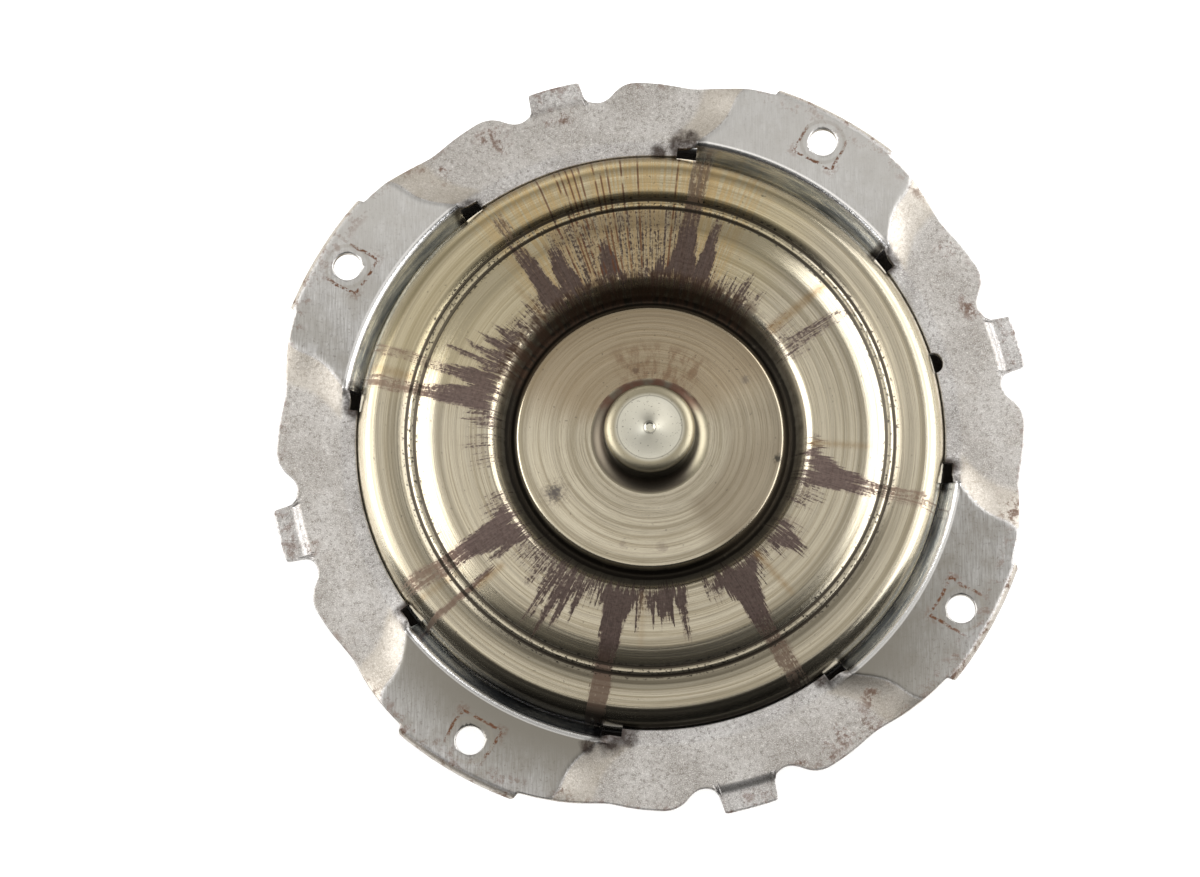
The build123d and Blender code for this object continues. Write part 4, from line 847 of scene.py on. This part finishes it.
def floor_material():
    graph = Graph("studio_floor", metallic=0.0)
    cloud = graph.noise(graph.position, 3.0, 2.0)
    colour = graph.mix(cloud, (0.86, 0.86, 0.86), (0.88, 0.88, 0.88))
    graph.shader.inputs["Emission Color"].default_value = (1.0, 1.0, 1.0, 1.0)
    graph.shader.inputs["Emission Strength"].default_value = FLOOR_GLOW
    return graph.finish(colour, 0.9)


def build_floor():
    size, height = FLOOR_HALF, cad_box[0][2]
    mesh = bpy.data.meshes.new("studio_floor")
    corners = [(-size, -size, height), (size, -size, height), (size, size, height), (-size, size, height)]
    mesh.from_pydata(corners, [], [(0, 1, 2, 3)])
    floor = bpy.data.objects.new("studio_floor", mesh)
    bpy.context.scene.collection.objects.link(floor)
    floor.data.materials.append(floor_material())


def softbox(name, direction_tilt, direction_turn, distance, size, radiance):
    """A rectangular lamp that faces the origin from a tilt off the zenith and a turn from +X."""
    data = bpy.data.lights.new(name, "AREA")
    data.shape, data.size, data.size_y = "RECTANGLE", size[0], size[1]
    data.energy = radiance * pi * size[0] * size[1]
    lamp = bpy.data.objects.new(name, data)
    tilt, turn = radians(direction_tilt), radians(direction_turn)
    place = Vector((sin(tilt) * cos(turn), sin(tilt) * sin(turn), cos(tilt))) * distance
    lamp.location = place
    lamp.rotation_euler = place.to_track_quat("Z", "Y").to_euler()
    bpy.context.scene.collection.objects.link(lamp)


SOFTBOX_TILT = 58       # degrees off the zenith
SOFTBOX_DISTANCE = 1.7  # metres, like the sizes of the soft boxes
# brightness of the room from its front, at -1, over the ceiling, at 0, to its back wall, at 1
ROOM = [(-1.0, 0.03), (-0.30, 0.05), (-0.15, 0.22), (-0.04, 0.95), (0.10, 1.15), (0.19, 0.98),
        (0.28, 0.62), (0.45, 0.42), (0.75, 0.45), (1.0, 1.0)]


def build_lights():
    """A beige ceiling and back wall, a dark front, and a tall soft box at each side."""
    world = bpy.data.worlds.new("studio")
    world.use_nodes = True
    tree = world.node_tree
    direction = tree.nodes.new("ShaderNodeTexCoord").outputs["Generated"]
    split = tree.nodes.new("ShaderNodeSeparateXYZ")
    tree.links.new(direction, split.inputs[0])
    ramp = tree.nodes.new("ShaderNodeValToRGB")
    place = tree.nodes.new("ShaderNodeMapRange")
    place.inputs["From Min"].default_value = -1.0
    tree.links.new(split.outputs[1], place.inputs["Value"])
    tree.links.new(place.outputs[0], ramp.inputs[0])
    while len(ramp.color_ramp.elements) < len(ROOM):
        ramp.color_ramp.elements.new(0.5)
    for element, (position, level) in zip(ramp.color_ramp.elements, ROOM):
        element.position = (position + 1) / 2
        element.color = (level, level * 0.97, level * 0.92, 1)
    slant = tree.nodes.new("ShaderNodeMapRange")
    for key, number in (("From Min", -0.3), ("From Max", 0.3), ("To Min", 1.22), ("To Max", 0.68)):
        slant.inputs[key].default_value = number
    tree.links.new(split.outputs[0], slant.inputs["Value"])
    background = tree.nodes["Background"]
    tree.links.new(ramp.outputs[0], background.inputs["Color"])
    tree.links.new(slant.outputs[0], background.inputs["Strength"])
    bpy.context.scene.world = world
    softbox("left_softbox", SOFTBOX_TILT, 174, SOFTBOX_DISTANCE, (1.3, 1.7), 3.2)
    softbox("right_softbox", SOFTBOX_TILT, 16, SOFTBOX_DISTANCE, (2.2, 1.7), 2.9)


def build_camera():
    """The view of the reference: from a little in front of the axis, looking almost straight down."""
    data = bpy.data.cameras.new("camera")
    data.lens, data.sensor_width, data.sensor_fit = CAMERA_LENS, CAMERA_SENSOR, "HORIZONTAL"
    camera = bpy.data.objects.new("camera", data)
    right, back = Vector(CAMERA_RIGHT), Vector(CAMERA_BACK)
    up = back.cross(right)
    rotation = Matrix((right, up, back)).transposed().to_4x4()
    camera.matrix_world = Matrix.Translation(CAMERA_PLACE) @ rotation
    bpy.context.scene.collection.objects.link(camera)
    bpy.context.scene.camera = camera


build_floor()
build_lights()
build_camera()
bpy.context.scene.view_settings.view_transform = "Standard"
